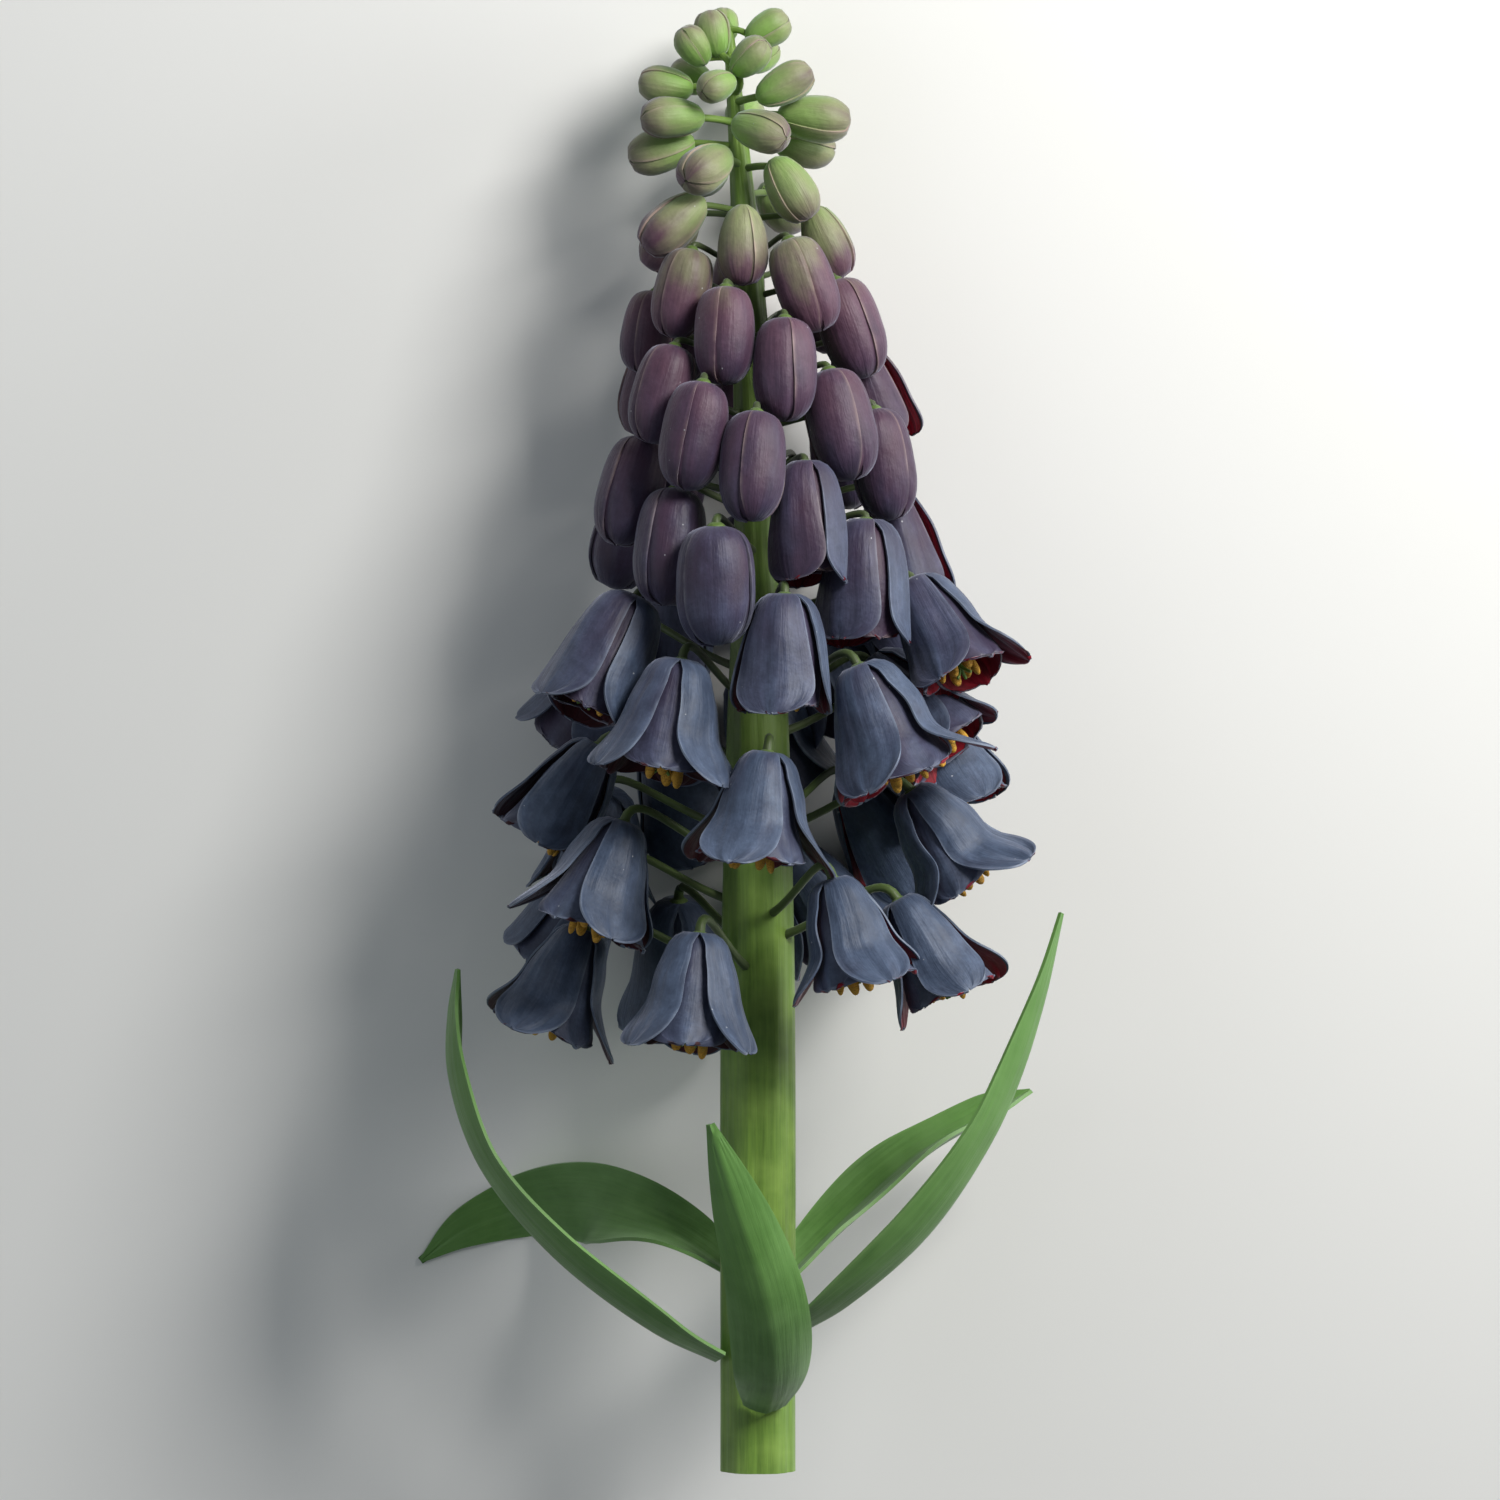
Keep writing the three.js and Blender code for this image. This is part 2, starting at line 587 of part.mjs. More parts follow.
function touchingPairs(bells) {
  const pairs = [];
  for (let i = 0; i < bells.length; i += 1) {
    for (let j = 0; j < i; j += 1) {
      if (bells[i].flower.top.distanceTo(bells[j].flower.top) > MAY_TOUCH_WITHIN) continue;
      if (bells[i].flower.green && bells[j].flower.green) continue;
      if (meets(bells[i].solid, [bells[j].solid])) pairs.push([i, j]);
    }
  }
  return pairs;
}

// Flowers that press on each other grow a little slimmer, and a green bud and its neighbour until they part
function slimWherePressed(flowers) {
  let bells = flowers.map(bellOf);
  for (let pass = 0; pass < GREEN_SLIM_PASSES; pass += 1) {
    const parts = ([i, j]) => pass < SLIM_PASSES || flowers[i].green !== flowers[j].green;
    const pressed = new Set(touchingPairs(bells).filter(parts).flat());
    for (const i of pressed) flowers[i].radius *= SLIM_BY;
    bells = bells.map((bell, i) => (pressed.has(i) ? bellOf(bell.flower) : bell));
  }
  return bells;
}

function bellOf(flower) {
  seatBell(flower);
  return { flower, solid: toSolid(pressFlat(flowerSolid(flower))) };
}

// Flowers whose bodies still run into each other are one solid
function groupTouching(bells) {
  const group = bells.map((_, i) => i);
  for (const [i, j] of touchingPairs(bells)) {
    const keep = Math.min(group[i], group[j]);
    const drop = Math.max(group[i], group[j]);
    group.forEach((value, k) => { if (value === drop) group[k] = keep; });
  }
  return group;
}

function buildPlant() {
  const plant = new THREE.Group();
  const flowers = allFlowers();
  makeRoom(flowers);
  const all = slimWherePressed(flowers);
  const stalks = flowers.map((flower) => pedicelSolid(flower, all));
  const green = all.filter((bell) => bell.flower.green).map((bell) => bell.solid);
  const bells = all.filter((bell) => !bell.flower.green);
  const stem = fuse([toSolid(axisSolid()), ...green, ...stalks]);
  plant.add(named('stem', toGeometry(stem), COLOURS.stem, 0.6));

  const group = groupTouching(bells);
  for (const first of new Set(group)) {
    const members = bells.filter((_, i) => group[i] === first);
    const name = `flower_${members.map((bell) => bells.indexOf(bell) + 1).join('_')}`;
    const colour = members[0].flower.open > 0.3 ? COLOURS.bell : COLOURS.bud;
    plant.add(named(name, toGeometry(fuse(members.map((bell) => bell.solid))), colour, 0.55));
  }
  for (const [name, leaf] of Object.entries(LEAVES)) {
    plant.add(named(name, pressFlat(leafSolid(leaf)), COLOURS.green, 0.5));
  }
  lieDown(plant);
  return plant;
}

// The stem lies with its tip low; the origin is under the middle of it, on the surface
function lieDown(plant) {
  plant.rotation.x = -LIE_ANGLE;
  plant.updateMatrixWorld(true);
  const box = new THREE.Box3().setFromObject(plant, true);
  plant.position.set(-(box.min.x + box.max.x) / 2, -(box.min.y + box.max.y) / 2, TIP_HEIGHT);
  plant.updateMatrixWorld(true);
}

export default buildPlant();
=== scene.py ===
import json
import math
from itertools import product
from types import SimpleNamespace

import bpy
import numpy as np
from mathutils import Matrix, Vector, kdtree

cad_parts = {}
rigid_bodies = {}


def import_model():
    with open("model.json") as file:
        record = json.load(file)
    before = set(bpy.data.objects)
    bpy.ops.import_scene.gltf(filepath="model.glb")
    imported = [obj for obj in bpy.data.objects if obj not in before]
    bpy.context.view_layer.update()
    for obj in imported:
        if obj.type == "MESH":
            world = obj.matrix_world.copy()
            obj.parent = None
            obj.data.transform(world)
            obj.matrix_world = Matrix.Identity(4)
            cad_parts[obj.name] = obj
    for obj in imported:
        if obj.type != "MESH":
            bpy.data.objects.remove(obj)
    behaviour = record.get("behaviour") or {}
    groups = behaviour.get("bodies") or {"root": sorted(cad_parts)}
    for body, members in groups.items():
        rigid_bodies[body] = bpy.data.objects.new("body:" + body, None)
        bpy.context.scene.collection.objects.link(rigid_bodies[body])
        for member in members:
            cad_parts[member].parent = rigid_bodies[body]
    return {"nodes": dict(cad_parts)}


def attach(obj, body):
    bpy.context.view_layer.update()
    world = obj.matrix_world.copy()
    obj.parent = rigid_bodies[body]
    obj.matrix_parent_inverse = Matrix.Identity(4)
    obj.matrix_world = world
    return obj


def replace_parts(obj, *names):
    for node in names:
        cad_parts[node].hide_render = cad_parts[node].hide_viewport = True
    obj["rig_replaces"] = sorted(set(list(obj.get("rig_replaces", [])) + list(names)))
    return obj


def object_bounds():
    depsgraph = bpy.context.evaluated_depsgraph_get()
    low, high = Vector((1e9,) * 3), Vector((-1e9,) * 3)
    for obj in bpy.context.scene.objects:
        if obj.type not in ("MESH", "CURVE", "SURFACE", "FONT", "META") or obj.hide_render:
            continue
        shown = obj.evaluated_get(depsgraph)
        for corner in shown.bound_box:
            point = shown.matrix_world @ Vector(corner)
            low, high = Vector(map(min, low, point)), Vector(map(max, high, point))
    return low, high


# One cut flower stem of persian lily, lying on a surface with its tip low.
# Lengths are millimetres in the stem's own frame until a mesh is made: X across, -Y down the stem
# from its tip to its cut end, Z towards the near side, which the camera sees.
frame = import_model()
cad_low, cad_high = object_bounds()
MM = 0.001

# Pose of the stem, and the forms that the solids have
STEM_LENGTH = 264
LIE_ANGLE = math.radians(8)
TIP_HEIGHT = 17.5
SEAT_GAP = 0.3
STRAIGHT_FROM = 110
STEM_ACROSS = 1.4
TIP_LEAN = 5.5
STEM_RADIUS = [[0, 0.8], [18, 1.6], [28, 2], [70, 3.6], [98, 4.2], [131, 5.5], [158, 6.2], [264, 6.6]]
TOP_REACH = [[0, 2], [7, 4.2], [14, 7.4], [25, 8.2], [34, 11.2], [47, 15.8], [71, 21.6], [91, 25.2],
             [106, 27.4], [124, 28.4], [170, 28.8]]
BELL_LENGTH = [[0, 6.5], [10, 8.5], [16, 11.5], [28, 13], [35, 14.8], [42, 16.5], [50, 18],
               [65, 19.7], [80, 20.8], [95, 21.8], [106, 23.6], [170, 24]]
MOUTH_REACH = [[0, 12], [8, 20], [15, 24], [45, 21], [65, 22], [92, 28], [112, 32], [122, 41],
               [190, 43]]
BELL_TILT = [[0, 70], [8, 35], [18, 0], [32, -30], [39, -60], [50, -76], [95, -76], [106, -62],
             [170, -56]]
OPENING = [[88, 0], [100, 0.4], [108, 0.9], [170, 1]]
PEDICEL_RISE = [[0, -3], [20, 1], [40, 3], [90, 4], [110, 8], [170, 8]]
PEDICEL_ARRIVAL = [[0, 0.16], [30, 0.12], [92, 0.12], [115, 0.26]]
PEDICEL_LIFTS = [0.08, 0.22, -0.06, 0.36]
PEDICEL_SINKS = [0, 2, -2, 4, -4, 6, 8]
PEDICEL_SWINGS = [0, 3, -3, 6, -6, 9, -9, 13, -13]
PEDICEL_RADIUS = [[0, 0.6], [30, 0.8], [60, 0.9], [110, 1.1], [170, 1.2]]
SLIMNESS = [[0, 0.38], [9, 0.37], [15, 0.31], [25, 0.33], [34, 0.305], [45, 0.3], [75, 0.285],
            [85, 0.29], [92, 0.32], [130, 0.32], [170, 0.3]]
SLIM_BY = 0.96
SLIM_MOST = 5
GREEN_BUDS_TO = 35.5
GREEN_INSET = 0.2
BUD_TO = 0.15
STAMENS_FROM = 0.3
NEAREST_FROM = 34
FAR_FROM = -5
OUTWARD_MOST = 1.25
OPEN_NOD = 0.05

# Flowers on the near half of the stem, one row each: top across, top down, mouth across, mouth down,
# how far it is open, and how far its first outer tepal is turned from the near side, in degrees
NEAR_FLOWERS = [
    [-6.5, 7.4, -7.9, -1.2, 0, 0],
    [-7.3, 7.9, -12.0, 2.0, 0, 60],
    [-0.6, 4.0, 7.0, -0.3, 0, 35],
    [-2.9, 10.3, 2.9, 4.7, 0, -35],
    [-10.3, 12.6, -20.3, 11.2, 0, 20],
    [-3.2, 11.5, -8.6, 14.0, 0, 30],
    [1.3, 15.1, 11.2, 9.6, 0, 0],
    [-8.3, 18.2, -19.8, 18.5, 0, 25],
    [5.0, 17.3, 18.3, 18.7, 0, 30],
    [-2.9, 19.3, 6.5, 22.7, 0, -20],
    [-10.1, 22.0, -22.1, 25.4, 0, -35],
    [-4.3, 25.0, -11.5, 30.6, 0, 0],
    [4.0, 25.7, 10.8, 36.7, 0, 25],
    [-8.5, 32.9, -19.1, 42.3, 0, 0],
    [-1.3, 34.4, -1.4, 49.1, 0, -35],
    [11.2, 34.0, 16.6, 47.0, 0, 0],
    [-10.4, 42.3, -14.0, 58.3, 0, 22],
    [6.8, 40.5, 13.0, 57.2, 0, -43],
    [-3.2, 49.7, -3.6, 67.3, 0, 45],
    [4.7, 54.9, 6.1, 73.8, 0, -45],
    [15.3, 47.3, 21.2, 65.2, 0, -25],
    [-17.1, 49.3, -20.2, 64.3, 0, 30],
    [-13.1, 59.4, -18.4, 76.5, 0, 10],
    [-8.5, 66.2, -12.2, 85.5, 0, 45],
    [13.0, 63.9, 18.2, 83.9, 0, -28],
    [0.5, 72.4, -0.2, 92.2, 0, 45],
    [22.3, 70.7, 25.7, 91.1, 0, -10],
    [-18.7, 76.3, -23.6, 95.9, 0, 20],
    [-13.1, 85.1, -15.7, 106.4, 0, 25],
    [9.2, 81.0, 10.8, 102.2, 0.2, -35],
    [-6.3, 92.3, -6.3, 113.9, 0, 5],
    [20.5, 91.3, 20.2, 113.4, 0.35, -32],
    [-20.0, 105.1, -30.1, 126.0, 0.35, -55],
    [6.1, 105.1, 5.4, 126.4, 0.45, -15],
    [29.3, 102.6, 40.0, 121.3, 0.7, -20],
    [-12.2, 116.8, -15.8, 138.2, 1, 55],
    [19.3, 117.7, 27.9, 138.6, 1, -30],
    [3.2, 132.8, 0.4, 152.6, 1, -20],
    [-27.5, 132.1, -38.7, 150.1, 0.7, -5],
    [29.2, 139.7, 40.5, 157.1, 1, 40],
    [-22.7, 145.8, -29.5, 165.6, 1, 25],
    [14.8, 155.9, 20.2, 175.1, 1, 25],
    [26.8, 159.7, 36.9, 177.8, 0.8, 20],
    [-30.2, 165.2, -37.8, 184.1, 0.9, -20],
    [-9.0, 165.6, -10.8, 186.8, 1, 60],
]

# The spiral of the far half's flowers: start, step and change of step of its turn and its distance down,
# the places left bare, and two flowers that opened early, turned so that one tepal shows its inside, painted
# in full backlight crimson
SPIRAL_TURN = (105.7, -137.05, -0.0182)
SPIRAL_DOWN = (0.6, 1.53, 0.0056)
SPIRAL_PLACES = 83
TILT_SPREAD = 8
BARE_PLACES = [0, 12, 21, 64, 78]
OPEN_EARLY = {34: 0.4, 47: 0.45}
EARLY_TURN = 22
FAR_SIDE = -0.12
FAR_TURN = 60

# How flowers make room for each other. Balls stand for a flower's body: share of its length, and share
# of its radius when closed and what opening adds to that.
BODY = np.array([[0.1, 0.6, 0], [0.33, 0.95, 0.05], [0.6, 0.95, 0.2], [0.84, 0.7, 0.62], [0.96, 0.4, 1]])
GREEN_BODY = 0.6
ROUNDS = 120
NEAR_GIVE = 0.12
ROOM = 0.5
PUSH = 0.3
FLOOR_PUSH = 0.5
LEAST_REACH = 0.72
MOST_REACH = 1.18

# A flower's own corners in a solid: how far aside and how far lifted they may be, and the most that a
# missing one counts in a bell's ring and in a stalk's
OWN_CORNER = 0.05
MOST_LIFT = 8
RING_MISS = 0.3
STALK_MISS = 0.5

# Leaves: half width, and the midrib's path from base to tip as across, down and depth towards the near
# side. A point without a depth lies on the surface.
LEAVES = {
    "leaf_right": (8, [[8.1, 238, 3.1], [17, 232, 8], [31, 219, 12], [42, 203, 12], [47.5, 191.7, 10],
                       [52.5, 177, 8], [56.3, 162.4, 6]]),
    "leaf_left": (7.5, [[-5.8, 243, 2.2], [-17, 237, 5], [-35, 223, 6], [-48, 207, 4], [-53.5, 191.3, 2],
                        [-53.9, 181, 1], [-53.1, 172.8, 0]]),
    "leaf_near": (7, [[2.8, 252, 7.2], [4, 245, 18], [3, 231, 30], [-2, 214, 37], [-7, 199, 40]]),
    "leaf_far": (6.5, [[6.2, 229, -5.6], [16, 219, -13], [30, 207, -19], [43, 200, -24], [52, 196, -26]]),
    "leaf_trailing": (7.5, [[-3, 228, -5.9], [-12, 222, -11], [-24, 218, -23], [-34, 217, -37],
                            [-44, 219], [-54, 223], [-62, 229]]),
}
LEAF_OUTLINE = [[0, 0.5], [0.15, 0.82], [0.4, 1], [0.65, 0.8], [0.85, 0.45], [1, 0.05]]
LEAF_THICKNESS = 0.8
LEAF_CHANNEL = 0.42

# Outlines of buds and tepals: share of the length, and share of the greatest radius
BUD = [[0, 0.12], [0.02, 0.4], [0.06, 0.66], [0.12, 0.82], [0.2, 0.92], [0.32, 0.99], [0.5, 1.02],
       [0.66, 1.01], [0.79, 0.92], [0.89, 0.76], [0.95, 0.57], [0.985, 0.36], [1, 0.1]]
SMALL_BUD = [[0, 0.2], [0.05, 0.46], [0.2, 0.77], [0.36, 0.94], [0.54, 1.02], [0.7, 1.02], [0.84, 0.88],
             [0.93, 0.67], [0.98, 0.42], [1, 0.1]]
INNER_SIZE = [[0, 0.85], [0.1, 0.8], [0.3, 0.84], [0.55, 0.9], [0.8, 0.93], [1, 0.95]]
BUD_TEPAL_SPAN = [[0, 60], [0.3, 62], [0.6, 62], [0.85, 60], [1, 52]]
INNER_SPAN = 46
BUD_TWIST = 22
LOBES = [[0, 1], [0.06, 0.8], [0.15, 0.77], [0.35, 0.88], [0.6, 1.12], [1, 1.6]]
OUTER_WIDTH = [[0, 0.22], [0.05, 0.5], [0.15, 0.74], [0.3, 0.91], [0.5, 1.05], [0.7, 1.13], [0.85, 1.12],
               [1, 1.04]]
SHOULDER_RISE = [[0, 0], [0.03, 0.04], [0.06, 0.058], [0.1, 0.062], [0.15, 0.05], [0.24, 0.03],
                 [0.4, 0], [1, 0]]
INNER_WIDTH = [[0, 0.15], [0.1, 0.5], [0.3, 0.84], [0.6, 1.14], [0.8, 1.28], [1, 1.3]]
TEPAL_THICKNESS = 0.35
BLADE_THICKNESS = 0.7
EDGE_FROM = 0.94

# Outer and inner tepals of an open bell: distance off its outline, rise of the shoulder, start and bluntness
# of the end, height of the keel, depth of dents, ruffled rim and waved sides, and how much riper they are
OUTER = SimpleNamespace(offset=0.3, shoulder=1, end=0.72, bluntness=2.5, keel=0.25, dent=0.3, ruffle=0.022,
                        waves=1, ripening=0.04)
INNER = SimpleNamespace(offset=-0.25, shoulder=0.6, end=0.8, bluntness=2.8, keel=0.12, dent=-0.2,
                        ruffle=0.03, waves=0.35, ripening=-0.3)

# Ripeness of a flower by its distance down: 0 green, 1 plum, 2 slate blue, and how much riper its mouth is
RIPENESS = [[0, 0.08], [12, 0.18], [24, 0.3], [32, 0.44], [40, 0.7], [48, 0.92], [60, 1.04], [80, 1.22],
            [92, 1.42], [106, 1.62], [120, 1.85], [140, 2]]
MOUTH_RIPER = [[0, 0.6], [40, 0.5], [60, 0.15]]
# Painted highlight: an outer tepal of a bell that is turned towards the lamps' side is made this much riper,
# so it shows a paler slate blue.
LAMP_SIDE_PAINTED_PALER = 0.36

# By distance down: how loosely a bud's tepals lie, the dark tint of stem and stalks (partly their own
# purple-brown, partly painted shade under the flowers), and a stalk's girth beside its solid's. By distance
# across: how much painted backlight, as brighter crimson, goes on a bell's inside on the side the lamps
# shine from.
LOOSENESS = [[20, 0.2], [60, 0.5], [95, 1.4]]
# Dark tint of the stem and stalks: partly their own purple-brown, and partly painted shade where the flowers
# hang over them.
STEM_PURPLE_AND_SHADE = [[0, 0], [25, 0.15], [45, 0.4], [125, 0.5], [150, 0.15], [165, 0]]
STALK_PURPLE_AND_SHADE = [[0, 0], [20, 0.15], [40, 0.95], [110, 0.95], [150, 0.8]]
SLENDER = [[20, 0.95], [40, 0.62]]
BACKLIT = [[0, 0], [18, 0.26]]

# The camera's distance and frame, lamps as place, size and power in metres and watts, and the sky's light
CAMERA_DISTANCE = 1400
FRAME_HEIGHT = 270
TIP_MARGIN = 2.16
CAMERA_DEPTH = 15
SKY = (0.86, 0.93, 1)
SKY_STRENGTH = 0.18
LAMPS = {
    "key": ([430, 300, 520], 0.28, 8.3, (1, 0.98, 0.95)),
    "rim": ([620, 60, 150], 0.3, 2.5, (1, 1, 1)),
    "fill": ([-560, -120, 480], 0.7, 1.05, SKY),
}
LAMP_AIM = [0, -110, 0]
FLOOR_SIZE = 8
FLOOR_DROP = 0.0002

UP = np.array([0.0, 1, 0])
NEARER = np.array([0.0, 0, 1])
SURFACE_NORMAL = np.array([0, -math.sin(LIE_ANGLE), math.cos(LIE_ANGLE)])
STALK_GUIDE = np.array([0.31, 0.22, 0.92])


def along(table, at):
    """Straight-line value of a table of pairs."""
    xs, ys = zip(*table)
    return np.interp(at, xs, ys)


def flowing(table, at):
    """Smooth value of a table of pairs."""
    xs, ys = (np.array(column, float) for column in zip(*table))
    slopes = np.gradient(ys, xs)
    at = np.clip(at, xs[0], xs[-1])
    i = np.clip(np.searchsorted(xs, at) - 1, 0, len(xs) - 2)
    span = xs[i + 1] - xs[i]
    t = (at - xs[i]) / span
    start = ys[i] * (2 * t**3 - 3 * t**2 + 1) + ys[i + 1] * (3 * t**2 - 2 * t**3)
    return start + span * (slopes[i] * (t**3 - 2 * t**2 + t) + slopes[i + 1] * (t**3 - t**2))


def scatter(n, salt):
    """A number from 0 to 1, the same each time for a flower and a purpose."""
    value = math.sin(n * 12.9898 + salt * 78.233) * 43758.5453
    return value - math.floor(value)


def unit(v):
    return v / np.linalg.norm(v, axis=-1, keepdims=True)


def axis_points(down):
    down = np.asarray(down, float)
    lean = np.maximum(0, 1 - down / STRAIGHT_FROM)
    return np.stack([STEM_ACROSS - TIP_LEAN * lean**2, -down, 0 * down], -1)


def height(points):
    """Height over the surface that the stem lies on."""
    return points @ SURFACE_NORMAL + TIP_HEIGHT


def sideways(direction, outward):
    """Two directions square to a given one, the first as near as can be to outward."""
    first = unit(outward - direction * (outward @ direction))
    return first, np.cross(direction, first)


class Flower:
    def __init__(self, top, mouth, is_open, turn, near):
        self.top = np.array(top, float)
        self.mouth = np.array(mouth, float)
        self.open = float(is_open)
        self.turn = turn
        self.near = near
        self.early = False
        self.down = -self.top[1]
        self.length = float(np.linalg.norm(self.mouth - self.top))
        self.radius = self.length * float(along(SLIMNESS, self.down))
        self.green = self.down < GREEN_BUDS_TO

    @property
    def direction(self):
        return unit(self.mouth - self.top)

    @property
    def closed(self):
        return self.open < BUD_TO

    @property
    def small_bud(self):
        return self.green or (self.closed and self.top[2] < FAR_FROM)

    def columns(self):
        """Corners round its solid."""
        if self.small_bud:
            return 9
        if self.closed:
            return 12
        if self.mouth[2] > NEAREST_FROM:
            return 24
        return 18 if self.mouth[2] > FAR_FROM else 12

    def first_ring(self, radius):
        """Corners at the top of its solid."""
        share = 0.34 if not self.closed else 0.4 if self.small_bud else 0.32
        start = 0 if self.closed else math.pi / 6
        angle = start + np.arange(self.columns()) * 2 * math.pi / self.columns()
        first, second = self.tepal_axes()
        return self.top + radius * share * (np.outer(np.cos(angle), first) + np.outer(np.sin(angle), second))

    def tepal_axes(self):
        """Two directions square to its length, the first one through the middle of an outer tepal."""
        middle = (self.top + self.mouth) / 2
        outward = (middle - axis_points(-middle[1])) * [1, 0, 1]
        front, side = sideways(self.direction, NEARER if self.near else unit(outward))
        turn = math.radians(self.turn)
        first = front * math.cos(turn) - side * math.sin(turn)
        return first, np.cross(self.direction, first)

    def outward_at(self, degrees):
        """Direction square to its length, at an angle round it from the middle of its first tepal."""
        first, second = self.tepal_axes()
        angle = math.radians(degrees)
        return first * math.cos(angle) + second * math.sin(angle)


def near_flower(row):
    """A flower seen on the near half: its depth follows from how far its top stands from the stem."""
    across, down, mouth_across, mouth_down, is_open, turn = row
    reach = along(TOP_REACH, down)
    offset = across - axis_points(down)[0]
    depth = math.sqrt(max(0, reach**2 - offset**2))
    seen = math.hypot(mouth_across - across, mouth_down - down)
    full = along(BELL_LENGTH, down)
    most = full * math.cos(math.radians(along(BELL_TILT, down))) * depth / reach * OUTWARD_MOST
    nodding = seen * (1 if is_open < BUD_TO else OPEN_NOD)
    outward = min(most, nodding, math.sqrt(max(0, full**2 - seen**2)))
    return Flower([across, -down, depth], [mouth_across, -mouth_down, depth + outward], is_open, turn, True)


def spiral_flower(n):
    """A flower of the spiral, used where it comes out on the far half."""
    turn, down = (start + step * n + change * n * n for start, step, change in (SPIRAL_TURN, SPIRAL_DOWN))
    turn = math.radians(turn)
    outward = np.array([math.sin(turn), 0, math.cos(turn)])
    tilt = math.radians(along(BELL_TILT, down) + TILT_SPREAD * (scatter(n, 1) - 0.5))
    top = axis_points(down) + outward * along(TOP_REACH, down)
    length = along(BELL_LENGTH, down)
    mouth = top + outward * length * math.cos(tilt) + UP * length * math.sin(tilt)
    is_open = OPEN_EARLY.get(n, along(OPENING, down) * (0.5 + 0.3 * scatter(n, 2)))
    part_turn = EARLY_TURN if n in OPEN_EARLY else FAR_TURN * (scatter(n, 3) - 0.5)
    flower = Flower(top, mouth, is_open, part_turn, False)
    flower.early = n in OPEN_EARLY
    return flower if math.cos(turn) < FAR_SIDE and n not in BARE_PLACES else None


def all_flowers():
    flowers = [near_flower(row) for row in NEAR_FLOWERS]
    flowers += [flower for flower in map(spiral_flower, range(SPIRAL_PLACES)) if flower]
    return sorted(flowers, key=lambda flower: flower.down)


def make_room(flowers):
    """The flowers push each other apart and up off the surface, as in the solids."""
    top = np.array([f.top for f in flowers])
    mouth = np.array([f.mouth for f in flowers])
    length = np.array([[f.length] for f in flowers])
    near = np.array([[f.near] for f in flowers])
    give = np.where(near, [NEAR_GIVE, NEAR_GIVE, 1], 1.0)
    at = BODY[:, 0][None, :, None]
    radii = np.array([f.radius * (BODY[:, 1] + BODY[:, 2] * f.open) * (GREEN_BODY if f.green else 1)
                      for f in flowers])
    owner = np.repeat(np.arange(len(flowers)), len(BODY))
    apart = owner[:, None] != owner[None]
    reach_sum = radii.ravel()[:, None] + radii.ravel()[None] + ROOM
    for _ in range(ROUNDS):
        centres = top[:, None] + (mouth - top)[:, None] * at
        flat = centres.reshape(-1, 3)
        way = flat[:, None] - flat[None]
        far = np.linalg.norm(way, axis=-1)
        deep = np.where(apart, np.maximum(0, reach_sum - far), 0)
        push = (PUSH * deep / np.maximum(far, 1e-9))[..., None] * way
        push = push.sum(1).reshape(centres.shape)
        sunk = np.maximum(0, radii - height(centres))
        push += FLOOR_PUSH * sunk[..., None] * SURFACE_NORMAL
        top = top + give * (push * (1 - at)).sum(1)
        mouth = mouth + give * (push * at).sum(1)
        top, mouth = settle(top, mouth, length)
    for flower, new_top, new_mouth in zip(flowers, top, mouth):
        flower.top, flower.mouth = new_top, new_mouth


def within_reach(points, least, most):
    """Points kept between two distances from the middle line of the stem."""
    axis = axis_points(-points[:, 1])
    reach = np.linalg.norm(points - axis, axis=1, keepdims=True)
    return axis + (points - axis) / np.maximum(reach, 1e-9) * np.clip(reach, least, most)


def settle(top, mouth, length):
    """Keeps each flower's top and mouth within reach of the stem, and its length as it was."""
    usual = along(TOP_REACH, -top[:, 1])[:, None]
    top = within_reach(top, LEAST_REACH * usual, MOST_REACH * usual)
    mouth = within_reach(mouth, 0, along(MOUTH_REACH, -mouth[:, 1])[:, None])
    return top, top + unit(mouth - top) * length


# Rows are the stem's own directions in the model's frame
TURN = np.array([[1, 0, 0], [0, math.cos(LIE_ANGLE), -math.sin(LIE_ANGLE)],
                 [0, math.sin(LIE_ANGLE), math.cos(LIE_ANGLE)]])


def node_corners(node):
    """Corners of a node's solid in the model's frame, in millimetres."""
    return np.array([corner.co for corner in frame["nodes"][node].data.vertices]) / MM


def stem_origin():
    """Where the stem frame's origin lies, found from the middle of the cut end."""
    turned = node_corners("stem") @ TURN.T
    end = turned[turned[:, 1] < turned[:, 1].min() + 0.02]
    middle = (end.min(0) + end.max(0)) / 2
    return (middle - axis_points(STEM_LENGTH)) @ TURN


ORIGIN = stem_origin()


def to_model(points):
    return (points @ TURN + ORIGIN) * MM


def to_stem(points):
    return (points - ORIGIN) @ TURN.T


class Corners:
    """A node's corners in the stem's frame, for finding the nearest one."""

    def __init__(self, node):
        self.points = to_stem(node_corners(node))
        self.tree = kdtree.KDTree(len(self.points))
        for i, point in enumerate(self.points):
            self.tree.insert(point, i)
        self.tree.balance()

    def gap(self, point):
        return self.tree.find(point)[2]


def fit_to_solid(flower, corners):
    """Moves a flower to where its solid was seated, and gives it its solid's girth."""
    mark = flower.mouth if flower.closed else flower.top
    off = corners.points - mark
    lifted = off @ SURFACE_NORMAL
    aside = np.linalg.norm(off - lifted[:, None] * SURFACE_NORMAL, axis=1)
    found = np.where(aside < OWN_CORNER, np.abs(lifted), np.inf)
    if found.min() < MOST_LIFT:
        lift = lifted[found.argmin()] * SURFACE_NORMAL
        flower.top = flower.top + lift
        flower.mouth = flower.mouth + lift
    girths = flower.radius * SLIM_BY ** np.arange(SLIM_MOST + 1)
    gaps = [np.mean([min(corners.gap(p), RING_MISS) for p in flower.first_ring(girth)]) for girth in girths]
    flower.radius = float(girths[int(np.argmin(gaps))])


